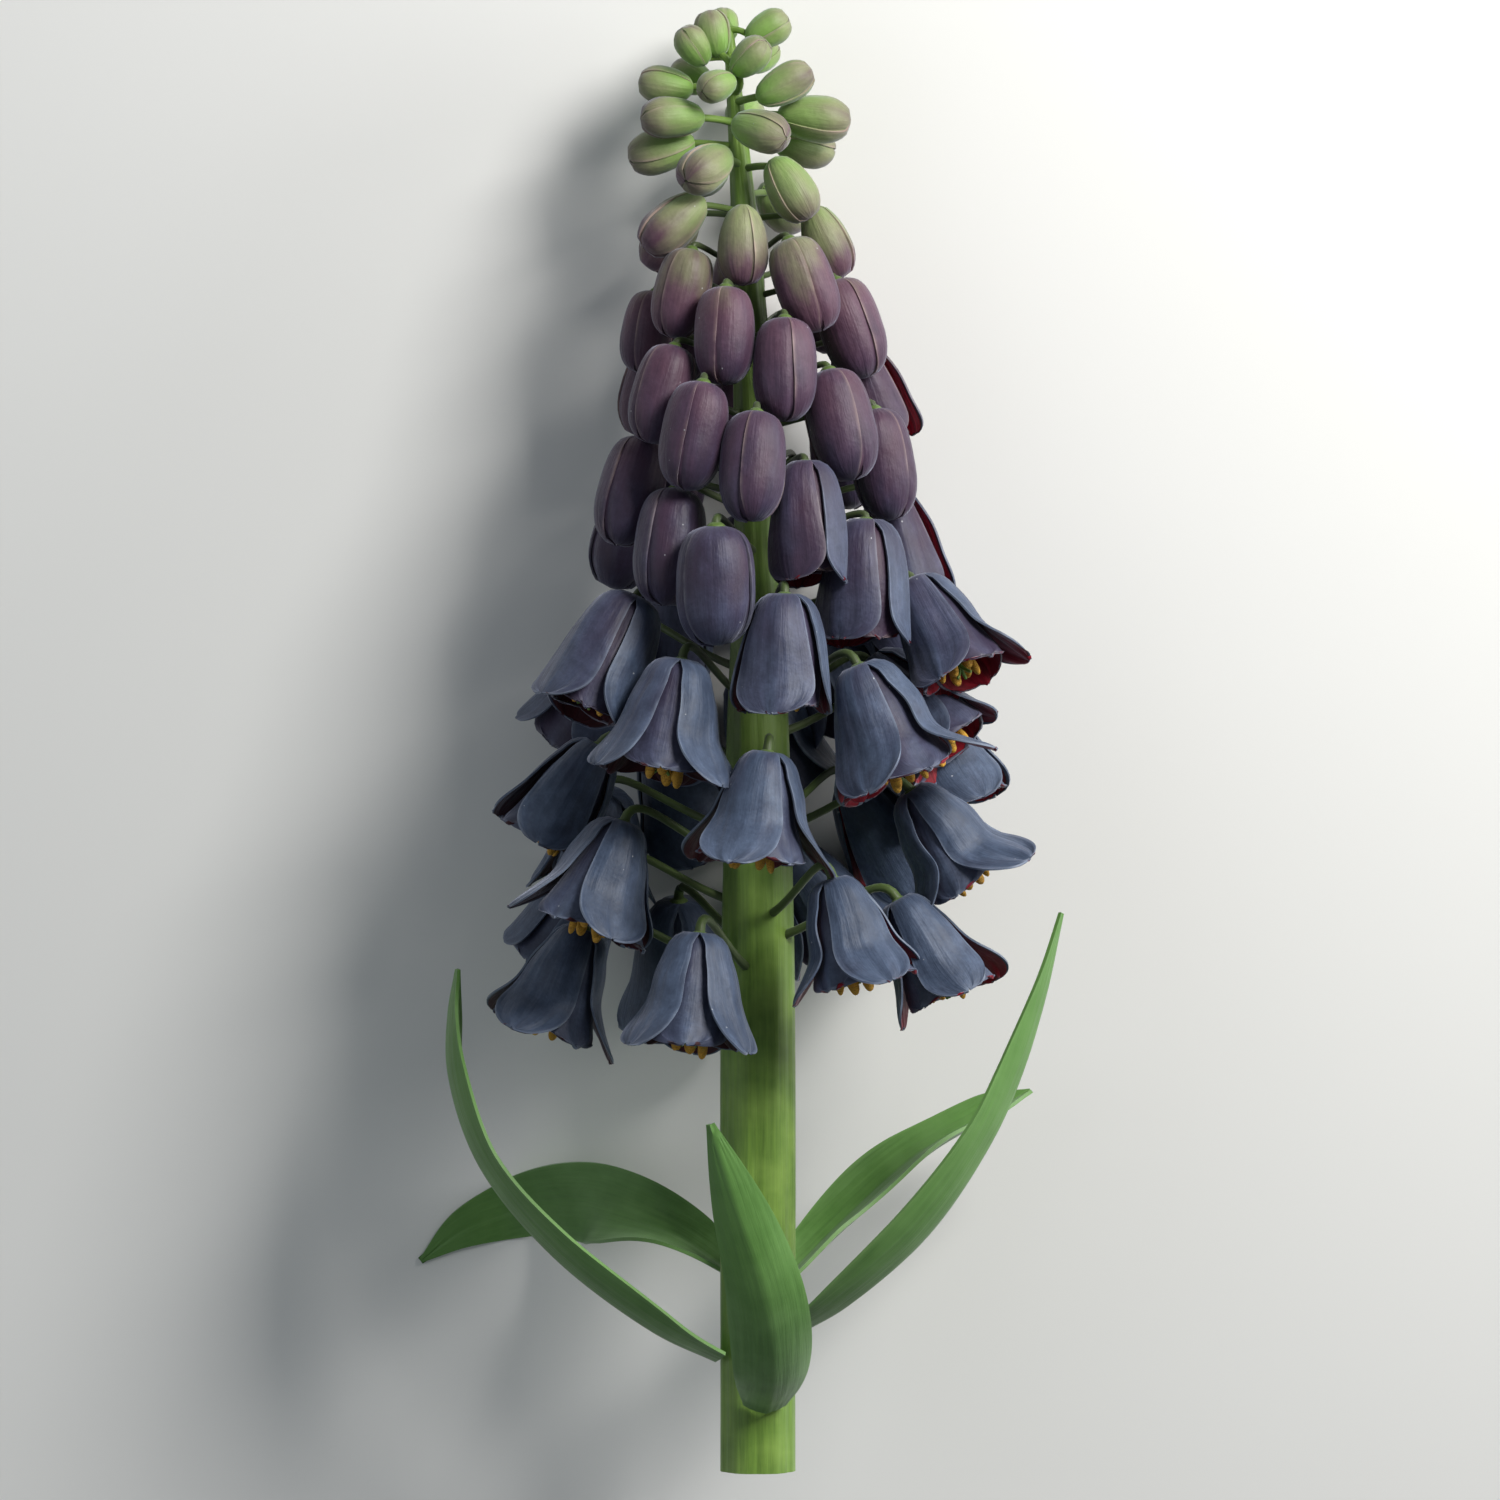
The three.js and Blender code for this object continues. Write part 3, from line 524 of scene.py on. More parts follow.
def pedicel_handles(flower, lift, sink, swing):
    """Handles of the curve of a stalk, which rises from the stem and turns over into the bell."""
    inset = flower.length * GREEN_INSET if flower.green else -SEAT_GAP
    end = flower.top + flower.direction * inset
    down = -flower.top[1]
    root = axis_points(max(1, down + along(PEDICEL_RISE, down) + sink))
    outward = unit(flower.top - axis_points(down))
    reach = np.linalg.norm(end - root)
    rise = root + outward * 0.5 * reach + UP * lift * reach + np.cross(UP, outward) * swing
    arrival = float(along(PEDICEL_ARRIVAL, down))
    return np.array([root, rise, end - flower.direction * arrival * reach, end])


def bezier(handles, t):
    """Points and directions of a curve with four handles."""
    t = np.asarray(t, float)[..., None]
    a, b, c, d = handles
    point = a * (1 - t) ** 3 + 3 * b * t * (1 - t) ** 2 + 3 * c * t**2 * (1 - t) + d * t**3
    slope = 3 * (b - a) * (1 - t) ** 2 + 6 * (c - b) * t * (1 - t) + 3 * (d - c) * t**2
    return point, unit(slope)


def find_pedicel(flower, corners):
    """Of the bends that a stalk may have, the one that the stem's solid has."""
    radius = float(along(PEDICEL_RADIUS, -flower.top[1]))
    steps = 2 if flower.green or flower.top[2] < FAR_FROM else 3
    rings = np.arange(1, steps) / steps

    def misfit(handles):
        gap = 0
        for centre, slope in zip(*bezier(handles, rings)):
            first, second = sideways(slope, STALK_GUIDE)
            ways = (first, -first, second, -second)
            gap += sum(min(corners.gap(centre + radius * way), STALK_MISS) for way in ways)
        return gap

    bends = product(PEDICEL_LIFTS, PEDICEL_SINKS, PEDICEL_SWINGS)
    return min((pedicel_handles(flower, *bend) for bend in bends), key=misfit)


def put_in_scene(name, data):
    made = bpy.data.objects.new(name, data)
    bpy.context.scene.collection.objects.link(made)
    return made


class Shape:
    """Points and faces of one mesh, with the values that its materials read.

    Each point has a place on its blade (across, along and a seed) and a tint (ripeness, also raised as a
    painted highlight on outer tepals that face the lamps; how near it is to a blade's edge; and 1 on an
    inner face, or up to 2 where painted backlight crimson stands for light coming through it)."""

    def __init__(self):
        self.points, self.faces, self.slots, self.place, self.tint = [], [], [], [], []
        self.count = 0

    def add(self, points, faces, slot, place, tint):
        self.points.append(points)
        self.faces += [[corner + self.count for corner in face] for face in faces]
        self.slots += [slot] * len(faces)
        self.place.append(np.broadcast_to(place, points.shape))
        self.tint.append(np.broadcast_to(tint, points.shape))
        self.count += len(points)

    def finish(self, name, node, materials):
        points = to_model(np.concatenate(self.points))
        points[:, 2] = np.maximum(points[:, 2], 0)
        mesh = bpy.data.meshes.new(name)
        mesh.from_pydata(points, [], self.faces)
        mesh.polygons.foreach_set("use_smooth", [True] * len(mesh.polygons))
        for label, rows in (("place", self.place), ("tint", self.tint)):
            values = np.concatenate(rows).astype(np.float32)
            mesh.attributes.new(label, "FLOAT_VECTOR", "POINT").data.foreach_set("vector", values.ravel())
        for material in materials:
            mesh.materials.append(material)
        mesh.polygons.foreach_set("material_index", self.slots)
        mesh.set_sharp_from_angle(angle=math.radians(60))
        made = put_in_scene(name, mesh)
        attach(made, "root")
        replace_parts(made, node)


def grid_faces(rows, columns, closed=False):
    """Quads of a grid of points, row by row."""
    grid = np.arange(rows * columns).reshape(rows, columns)
    if closed:
        grid = np.hstack([grid, grid[:, :1]])
    return np.stack([grid[:-1, :-1], grid[:-1, 1:], grid[1:, 1:], grid[1:, :-1]], -1).reshape(-1, 4)


def rim_faces(rows, columns):
    """Quads that join the rims of two like grids, the second's points following the first's."""
    grid = np.arange(rows * columns).reshape(rows, columns)
    loop = np.concatenate([grid[0], grid[1:, -1], grid[-1, -2::-1], grid[-2:0:-1, 0]])
    onward = np.roll(loop, -1)
    return np.stack([onward, loop, loop + grid.size, onward + grid.size], -1)


def stacked(*grids):
    """The points of several grids in one list."""
    return np.concatenate([grid.reshape(-1, 3) for grid in grids])


def add_blade(shape, points, thickness, slot, place, tint, inside=1.0):
    """A thin blade: a grid of points as its outer face, an inner face under it, and a closed rim."""
    rows, columns = points.shape[:2]
    normal = unit(np.cross(np.gradient(points, axis=1), np.gradient(points, axis=0)) + 1e-12)
    inner = points - normal * thickness
    quads = grid_faces(rows, columns)
    faces = np.concatenate([quads, quads[:, ::-1] + rows * columns, rim_faces(rows, columns)])
    lining = np.zeros(points.shape)
    lining[:-1, 1:-1, 2] = inside
    shape.add(stacked(points, inner), faces.tolist(), slot, stacked(place, place),
              stacked(tint, tint + lining))


def add_tube(shape, centres, slopes, radii, sides, slot, tint, guide=STALK_GUIDE, seed=0.0):
    """A tube through centres, closed at both ends. Its radius may change along it and round it."""
    first = unit(guide - slopes * (slopes @ guide)[:, None])
    second = np.cross(slopes, first)
    angle = np.linspace(0, 2 * math.pi, sides, endpoint=False)
    radii = np.broadcast_to(np.reshape(radii, (len(centres), -1)), (len(centres), sides))
    ring = first[:, None] * np.cos(angle)[:, None] + second[:, None] * np.sin(angle)[:, None]
    rings = centres[:, None] + ring * radii[..., None]
    gone = np.concatenate([[0], np.cumsum(np.linalg.norm(np.diff(centres, axis=0), axis=1))])
    place = np.stack(np.broadcast_arrays(radii * angle, gone[:, None], seed), -1)
    tint = np.broadcast_to(np.reshape(tint, (-1, 1, 3)), rings.shape)
    faces = grid_faces(len(centres), sides, closed=True).tolist()
    middle = len(centres) * sides
    last = middle - sides
    for i in range(sides):
        j = (i + 1) % sides
        faces += [[j, i, middle], [last + i, last + j, middle + 1]]
    ends = [0, -1]
    shape.add(stacked(rings, centres[ends]), faces, slot, stacked(place, place[ends, 0]),
              stacked(tint, tint[ends, 0]))


def tepal_points(flower, turn, s, out, across):
    """Points of a tepal: share of the flower's length, distance out from its middle line, and across."""
    s, out, across = np.broadcast_arrays(s, out, across)
    body = flower.top + flower.direction * (s * flower.length)[..., None]
    return body + flower.outward_at(turn) * out[..., None] + flower.outward_at(turn + 90) * across[..., None]


def tepal_marks(flower, s, t, width, seed, ripening=0.0):
    """Place and tint of a tepal's points."""
    s, t, width = np.broadcast_arrays(s, t, width)
    ripe = along(RIPENESS, flower.down) + ripening + 0.12 * np.exp(-(t * 5) ** 2)
    ripe = ripe + along(MOUTH_RIPER, flower.down) * (s - 0.45)
    place = np.stack([t * width, s * flower.length, np.full(s.shape, seed)], -1)
    edge = np.clip((np.abs(t) - EDGE_FROM) / (1 - EDGE_FROM), 0, 1)
    return place, np.stack([ripe, edge, np.zeros(s.shape)], -1)


def add_bud(shape, flower, number, slot):
    """A closed bud: three outer tepals, and the keels of the three inner ones between their edges."""
    fine = flower.near and not flower.green
    rows, columns = (26, 15) if fine else (16, 9)
    way = np.linspace(0, 1, rows)[:, None]
    s = 0.5 * way + 0.25 * (1 - np.cos(math.pi * way))
    t = np.linspace(-1, 1, columns)[None]
    profile = flower.radius * flowing(SMALL_BUD if flower.small_bud else BUD, s)
    thickness = min(TEPAL_THICKNESS, 0.2 * flower.radius)
    ends = np.clip(s * 10, 0, 1) * np.clip((1 - s) * 10, 0.2, 1)
    loose = along(LOOSENESS, flower.down) * (0.5 + scatter(number, 8))
    over = 1 if scatter(number, 9) > 0.5 else -1
    twist = math.radians(BUD_TWIST) * (scatter(number, 7) - 0.5) * s
    for k in range(6):
        outer = k % 2 == 0
        seed = scatter(number, 10 + k)
        if outer:
            narrowing = 1 - (0.02 + 0.12 * seed * loose) * s**2
            angle = t * np.radians(flowing(BUD_TEPAL_SPAN, s)) * narrowing
            keel = 0.03 * np.exp(-(t * 4) ** 2) * np.clip(1.2 - s, 0, 1)
            groove = -0.07 * np.abs(t) ** 5 * (0.7 + s**2) * np.where(t * over > 0, 0.8, 1.4)
            lapping = (0.045 + 0.03 * loose * s**2) * np.clip((t * over - 0.72) / 0.28, 0, 1)
            folds = 0.009 * np.cos(t * 9 + 9 * seed) * np.cos(2 * s + 4 * seed)
            radius = profile * (1 + (keel + groove + lapping + folds) * ends)
            reach = s * (1 + 0.018 * loose * (seed - 0.3) * s)
        else:
            angle = t * math.radians(INNER_SPAN)
            keel = 0.03 * np.exp(-(t * 2.6) ** 2) * np.clip(s * 2, 0, 1)
            radius = profile * (0.915 + keel * ends) - thickness * 0.5
            reach = s * 0.985
        angle = angle + twist
        points = tepal_points(flower, 60 * k, reach, radius * np.cos(angle), radius * np.sin(angle))
        place, tint = tepal_marks(flower, s, t, flower.radius, seed, 0 if outer else -0.15)
        # At a seam the pale rim stays on the raised, overlapping edge and mostly leaves the lower one:
        # painted highlight on the high side, painted shade on the low side.
        tint[..., 1] *= np.where(t * over > 0, 1, 0.15)
        add_blade(shape, points, thickness, slot, place, tint)


def bell_outline(is_open, flare, knee):
    """Radius of an open bell down its length, as shares of the greatest radius of a closed one."""
    tip = 0.72 + 1.02 * is_open + flare - 0.12 * (1 - is_open)
    belly = 1 + 0.27 * is_open
    return [[0, 0.12], [0.03, 0.3], [0.06, 0.46], [0.1, 0.64], [0.15, 0.79], [0.23, 0.9],
            [0.36, 0.97 + 0.1 * is_open], [knee, belly],
            [(knee + 1) / 2, 0.55 * belly + 0.45 * tip], [1, tip]]


def blunt_end(share, start, bluntness):
    """Narrows a blade to a blunt rounded end from a share of its length."""
    way = np.clip((share - start) / (1 - start), 0, 1)
    return np.maximum(1 - way**bluntness, 0.0005) ** (1 / bluntness)


def add_bell(shape, flower, number, slot):
    """An open bell: three broad inner tepals, and three spoon-shaped outer ones over them."""
    rows, columns = (32, 21) if flower.near else (20, 13)
    way = np.linspace(0, 1, rows)[:, None]
    share = 1 - (1 - way) ** 1.5
    t = np.linspace(-1, 1, columns)[None]
    reach = flower.radius
    tail = np.clip(share * 3, 0, 1)
    # Painted backlight: bells further across, towards the lamps, get brighter crimson on their insides.
    backlit = along(BACKLIT, flower.top[0])
    for k in range(6):
        outer = k % 2 == 0
        form = OUTER if outer else INNER
        seed = scatter(number, 20 + k)
        more = scatter(number, 30 + k) - 0.5
        # How far this tepal faces the lamps' side, which sets its painted highlight.
        facing_lamps = max(0, flower.outward_at(60 * k)[0])
        sway = 3 * (scatter(number, 40 + k) - 0.5) * flower.open * share**2
        knee = 0.56 + 0.16 * scatter(number, 50 + k)
        if outer:
            flare = (0.4 + 0.6 * more) * flower.open
            length, size, width = 1 + 0.06 * more, 1, flowing(OUTER_WIDTH, share) * (1 + 0.12 * more)
        else:
            flare = 0.12 * more
            length, size, width = 0.95 + 0.06 * more, flowing(INNER_SIZE, share), flowing(INNER_WIDTH, share)
        narrow = blunt_end(share, form.end, form.bluntness)
        middle = size * reach * flowing(bell_outline(flower.open, flare, knee), share) + form.offset
        bend = middle * (flowing(LOBES, share) if outer else 1 + 0.12 * flower.open * share)
        unrolled = flower.early and k == 0
        if unrolled:
            bend = bend * (1 + 0.8 * np.clip(share * 2.5, 0, 1))
        angle = t * reach * width * narrow / bend
        out = middle - bend + bend * np.cos(angle)
        keel = form.keel * np.exp(-(t * 3.2) ** 2)
        folds = 0.12 * np.cos(t * 7 + 6 * seed) + 0.07 * np.cos(t * 17 + 3 * seed)
        dent = form.dent * (1 + np.sin(3.1 * t + 8 * seed) * np.sin(5 * share + 11 * seed))
        curl = 0.6 * flower.open * np.abs(t) ** 4 * share if outer else 0
        sides = np.where(t < 0, scatter(number, 110 + k), scatter(number, 120 + k)) * 1.6 - 0.3
        tuck = 0 if outer else 0.9 * np.abs(t) ** 3 * share
        swing = np.sin(5 * share + 9 * seed + np.sign(t))
        wave = 1.3 * form.waves * sides * flower.open * share**2 * np.abs(t) ** 2.5 * swing
        beak = 0.05 * more * np.exp(-(t * 3) ** 2) * np.clip((share - 0.8) * 5, 0, 1)
        ruffle = form.ruffle * np.cos(t * 9 + 7 * seed) * np.clip((share - 0.75) * 4, 0, 1)
        lift = form.shoulder * flowing(SHOULDER_RISE, share)
        relief = (keel + folds + dent * flower.open) * tail + wave + curl - tuck
        points = tepal_points(flower, 60 * k, share * length + beak - ruffle * narrow - lift,
                              out + relief * narrow, bend * np.sin(angle) + sway)
        # Painted highlight: outer tepals that face the lamps' side are made riper, so they show a paler
        # slate blue.
        ripening = form.ripening + (LAMP_SIDE_PAINTED_PALER * facing_lamps if outer else 0)
        place, tint = tepal_marks(flower, share, t, reach * 0.9, seed, ripening)
        # The end of a tepal gets the pale rim too, which is partly its own margin and partly a painted
        # highlight.
        tint[..., 1] = np.maximum(tint[..., 1], np.clip((share - 0.97) / 0.03, 0, 1))
        # Inner faces get a tint of 1 plus painted backlight, which is full on the early bell's unrolled
        # tepal.
        add_blade(shape, points, TEPAL_THICKNESS, slot, place, tint, 2 if unrolled else 1 + backlit)


def add_stamens(shape, flower, number, filament_slot, anther_slot):
    """Six stamens with long anthers."""
    way = flower.direction
    for k in range(6):
        out = flower.outward_at(60 * k + 12 * (scatter(number, 50 + k) - 0.5))
        spread = (0.45 + 0.6 * scatter(number, 60 + k)) * (0.5 + 0.5 * flower.open)
        reach = 0.66 + 0.14 * flower.open + 0.1 * scatter(number, 70 + k)
        stations = [(1.2, 0.12), (1.6, 0.35), (1.4 + spread, reach - 0.2), (1.5 + 2 * spread, reach)]
        handles = [flower.top + out * aside + way * share * flower.length for aside, share in stations]
        centres, slopes = bezier(handles, np.linspace(0, 1, 8))
        add_tube(shape, centres, slopes, np.linspace(0.32, 0.16, 8), 6, filament_slot, [1, 0, 0])
        lean = unit(way + out * 0.7 * (scatter(number, 80 + k) - 0.5) + UP * -0.25)
        at = 0.5 - 0.5 * np.cos(math.pi * np.linspace(0.06, 0.94, 9)[:, None])
        anther = centres[-1] + lean * (at * 4.5 - 1)
        girth = 0.9 * np.sqrt(1 - np.abs(2 * at - 1) ** 2.6)
        lobes = 1 + 0.22 * np.cos(2 * np.linspace(0, 2 * math.pi, 10, endpoint=False))
        add_tube(shape, anther, np.tile(lean, (9, 1)), girth * lobes, 10, anther_slot, [1, 0, 0],
                 guide=unit(np.cross(lean, out)), seed=scatter(number, 90 + k))


def add_pistil(shape, flower, slot):
    """A pistil in the middle of a bell, with a three-branched end."""
    way = flower.direction
    at = np.linspace(0.1, 0.8, 8)[:, None]
    centres = flower.top + way * at * flower.length
    add_tube(shape, centres, np.tile(way, (8, 1)), 0.55 + 0.75 * np.exp(-at * 6), 8, slot, [0, 0, 0])
    for k in range(3):
        out = flower.outward_at(120 * k + 40)
        stations = [(0, -0.4), (0, 1.2), (0.6, 2.4), (1.6, 3.2)]
        handles = [centres[-1] + way * onward + out * aside for aside, onward in stations]
        branch, slopes = bezier(handles, np.linspace(0, 1, 6))
        add_tube(shape, branch, slopes, np.linspace(0.5, 0.28, 6), 6, slot, [0, 0, 0])


def add_receptacle(shape, flower, slot):
    """The small green seat of the tepals at the top of a flower."""
    at = np.linspace(0, 1, 6)[:, None]
    centres = flower.top + flower.direction * (at * 1.5 - 0.5)
    girth = flower.radius * 0.26 * np.sin(math.pi * (0.16 + 0.6 * at))
    add_tube(shape, centres, np.tile(flower.direction, (6, 1)), girth, 12, slot, [0.6, 0, 0])


def flower_nodes():
    """The nodes that hold flowers, and the numbers of the flowers in each."""
    return {node: [int(number) for number in node.split("_")[1:]]
            for node in sorted(frame["nodes"]) if node.startswith("flower_")}


def build_flowers(bells, materials):
    for node, numbers in flower_nodes().items():
        shape = Shape()
        for number in numbers:
            flower = bells[number - 1]
            add_receptacle(shape, flower, 1)
            if flower.closed:
                add_bud(shape, flower, number, 0)
            else:
                add_bell(shape, flower, number, 0)
            if flower.open > STAMENS_FROM:
                add_stamens(shape, flower, number, 2, 3)
                add_pistil(shape, flower, 1)
        shape.finish(f"{node}_tepals", node, materials)


def build_stem(flowers, corners, materials):
    """The ribbed stem, the stalks of all flowers and the green buds of the tip."""
    shape = Shape()
    down = np.concatenate([np.linspace(-0.5, 6, 6), np.linspace(10, STEM_LENGTH, 70)])
    centres = axis_points(down)
    angle = np.linspace(0, 2 * math.pi, 60, endpoint=False)
    ribs = 1 + 0.035 * np.cos(6 * angle) + 0.012 * np.cos(17 * angle + 1)
    radius = flowing(STEM_RADIUS, down) * np.clip((down + 0.9) / 3, 0.2, 1) ** 0.5
    # The stem's dark tint is partly its own purple and partly painted shade under the flowers.
    purple_and_shade = along(STEM_PURPLE_AND_SHADE, down)
    add_tube(shape, centres, unit(np.gradient(centres, axis=0)), radius[:, None] * ribs, 60, 0,
             np.stack([purple_and_shade, 0 * down, 0 * down], -1), guide=np.array([1.0, 0, 0]))
    for number, flower in enumerate(flowers):
        t = np.linspace(0, 1, 16)
        stalk, way = bezier(find_pedicel(flower, corners), t)
        slender = along(SLENDER, flower.down)
        girth = along(PEDICEL_RADIUS, -flower.top[1]) * (slender + 0.5 * np.exp(-t / 0.08) + 0.2 * t**6)
        purple_and_shade = along(STALK_PURPLE_AND_SHADE, flower.down)
        add_tube(shape, stalk, way, girth, 12, 0, [purple_and_shade, 0, 0], seed=scatter(number, 5))
        if flower.green:
            add_bud(shape, flower, number, 1)
    shape.finish("stem_and_stalks", "stem", materials)


def path_through(points, at):
    """Points and directions along a smooth path through given points."""
    points = np.array(points, float)
    ends = np.vstack([2 * points[0] - points[1], points, 2 * points[-1] - points[-2]])
    place = at * (len(points) - 1)
    i = np.minimum(place.astype(int), len(points) - 2)
    w = (place - i)[:, None]
    p0, p1, p2, p3 = (ends[i + k] for k in range(4))
    d0, d1, d2 = (np.linalg.norm(b - a, axis=1, keepdims=True) ** 0.5
                  for a, b in ((p0, p1), (p1, p2), (p2, p3)))
    v1 = ((p1 - p0) / d0 - (p2 - p0) / (d0 + d1) + (p2 - p1) / d1) * d1
    v2 = ((p2 - p1) / d1 - (p3 - p1) / (d1 + d2) + (p3 - p2) / d2) * d1
    square, cube = -3 * p1 + 3 * p2 - 2 * v1 - v2, 2 * p1 - 2 * p2 + v1 + v2
    return p1 + v1 * w + square * w**2 + cube * w**3, unit(v1 + 2 * square * w + 3 * cube * w**2)


def lying_depth(down):
    """Depth towards the near side of a leaf's middle where it lies on the surface."""
    return (LEAF_THICKNESS / 2 - TIP_HEIGHT - down * math.sin(LIE_ANGLE)) / math.cos(LIE_ANGLE)


def build_leaf(name, half, path, material):
    """A lance-shaped blade, channelled along its midrib, with a waved margin."""
    lies = any(len(point) < 3 for point in path)
    points = [[point[0], -point[1], point[2] if len(point) > 2 else lying_depth(point[1])] for point in path]
    at = np.linspace(0, 1, 56)
    centres, slopes = path_through(points, at)
    laid = np.minimum(1, at * 1.6)[:, None] if lies else np.zeros((len(at), 1))
    inward = unit(axis_points(-centres[:, 1]) - centres + UP * 12) * (1 - laid) + SURFACE_NORMAL * laid
    face = unit(inward - slopes * (inward * slopes).sum(1)[:, None])
    side = np.cross(slopes, face)
    t = np.linspace(-1, 1, 23)
    width = half * flowing(LEAF_OUTLINE, at)[:, None]
    seed = len(name) * 0.37
    rise = LEAF_CHANNEL * (1 - laid) * width * (np.abs(t) ** 1.7 - 0.4)
    swing = np.sin(15 * at + 6 * seed)[:, None] * np.sign(t + 0.01)
    wave = 0.06 * width * (1 - 0.9 * laid) * np.abs(t) ** 3 * swing
    relief = 0.035 * np.cos(t * 46) - 0.22 * np.exp(-(t * 14) ** 2)
    upper = centres[:, None] + side[:, None] * (width * t)[..., None]
    upper = upper + face[:, None] * (rise + wave + relief + 0.35)[..., None]
    place = np.stack(np.broadcast_arrays(width * t, at[:, None] * 90, seed), -1)
    edge = np.clip((np.abs(t) - EDGE_FROM) / (1 - EDGE_FROM), 0, 1)
    tint = np.stack(np.broadcast_arrays(at[:, None], edge, 0.0), -1)
    shape = Shape()
    add_blade(shape, upper, BLADE_THICKNESS, 0, place, tint)
    shape.finish(f"{name}_blade", name, [material])


def new_material(name):
    material = bpy.data.materials.new(name)
    material.use_nodes = True
    return material, material.node_tree.nodes["Principled BSDF"]


class Wiring:
    """Adds shader nodes to a material."""

    def __init__(self, name):
        self.material, self.surface = new_material(name)
        self.nodes = self.material.node_tree.nodes

    def plug(self, value, socket):
        if isinstance(value, bpy.types.NodeSocket):
            self.material.node_tree.links.new(value, socket)
        else:
            socket.default_value = value

    def read(self, label):
        node = self.nodes.new("ShaderNodeAttribute")
        node.attribute_name = label
        return node.outputs["Vector"]

    def feed(self, kind, *values):
        """A new node, with values for its first sockets."""
        node = self.nodes.new(kind)
        for value, socket in zip(values, node.inputs):
            self.plug(value, socket)
        return node

    def parts(self, vector):
        return self.feed("ShaderNodeSeparateXYZ", vector).outputs

    def join(self, x, y, z):
        return self.feed("ShaderNodeCombineXYZ", x, y, z).outputs[0]

    def times(self, a, b):
        node = self.feed("ShaderNodeMath", a, b)
        node.operation = "MULTIPLY"
        return node.outputs[0]

    def plus(self, a, b):
        return self.feed("ShaderNodeMath", a, b).outputs[0]

    def noise(self, vector, scale, detail=3, roughness=0.55):
        return self.feed("ShaderNodeTexNoise", vector, 0, scale, detail, roughness).outputs[0]

    def specks(self, vector, scale, size):
        node = self.feed("ShaderNodeTexVoronoi", vector, 0, scale)
        return self.spread(node.outputs["Distance"], size, size * 0.5)

    def spread(self, value, low, high, to_low=0.0, to_high=1.0):
        return self.feed("ShaderNodeMapRange", value, low, high, to_low, to_high).outputs[0]

    def ramp(self, value, stops):
        node = self.feed("ShaderNodeValToRGB", value)
        while len(node.color_ramp.elements) < len(stops):
            node.color_ramp.elements.new(0.5)
        for element, (at, colour) in zip(node.color_ramp.elements, stops):
            element.position = at
            element.color = (*colour, 1)
        return node.outputs[0]

    def mix(self, share, a, b):
        node = self.nodes.new("ShaderNodeMix")
        node.data_type = "RGBA"
        self.plug(share, node.inputs[0])
        self.plug((*a, 1) if isinstance(a, tuple) else a, node.inputs[6])
        self.plug((*b, 1) if isinstance(b, tuple) else b, node.inputs[7])
        return node.outputs[2]

    def bump(self, relief, strength, distance):
        node = self.nodes.new("ShaderNodeBump")
        node.inputs["Strength"].default_value = strength
        node.inputs["Distance"].default_value = distance
        self.plug(relief, node.inputs["Height"])
        self.plug(node.outputs[0], self.surface.inputs["Normal"])

    def set(self, **values):
        for label, value in values.items():
            self.plug(value, self.surface.inputs[label.replace("_", " ")])


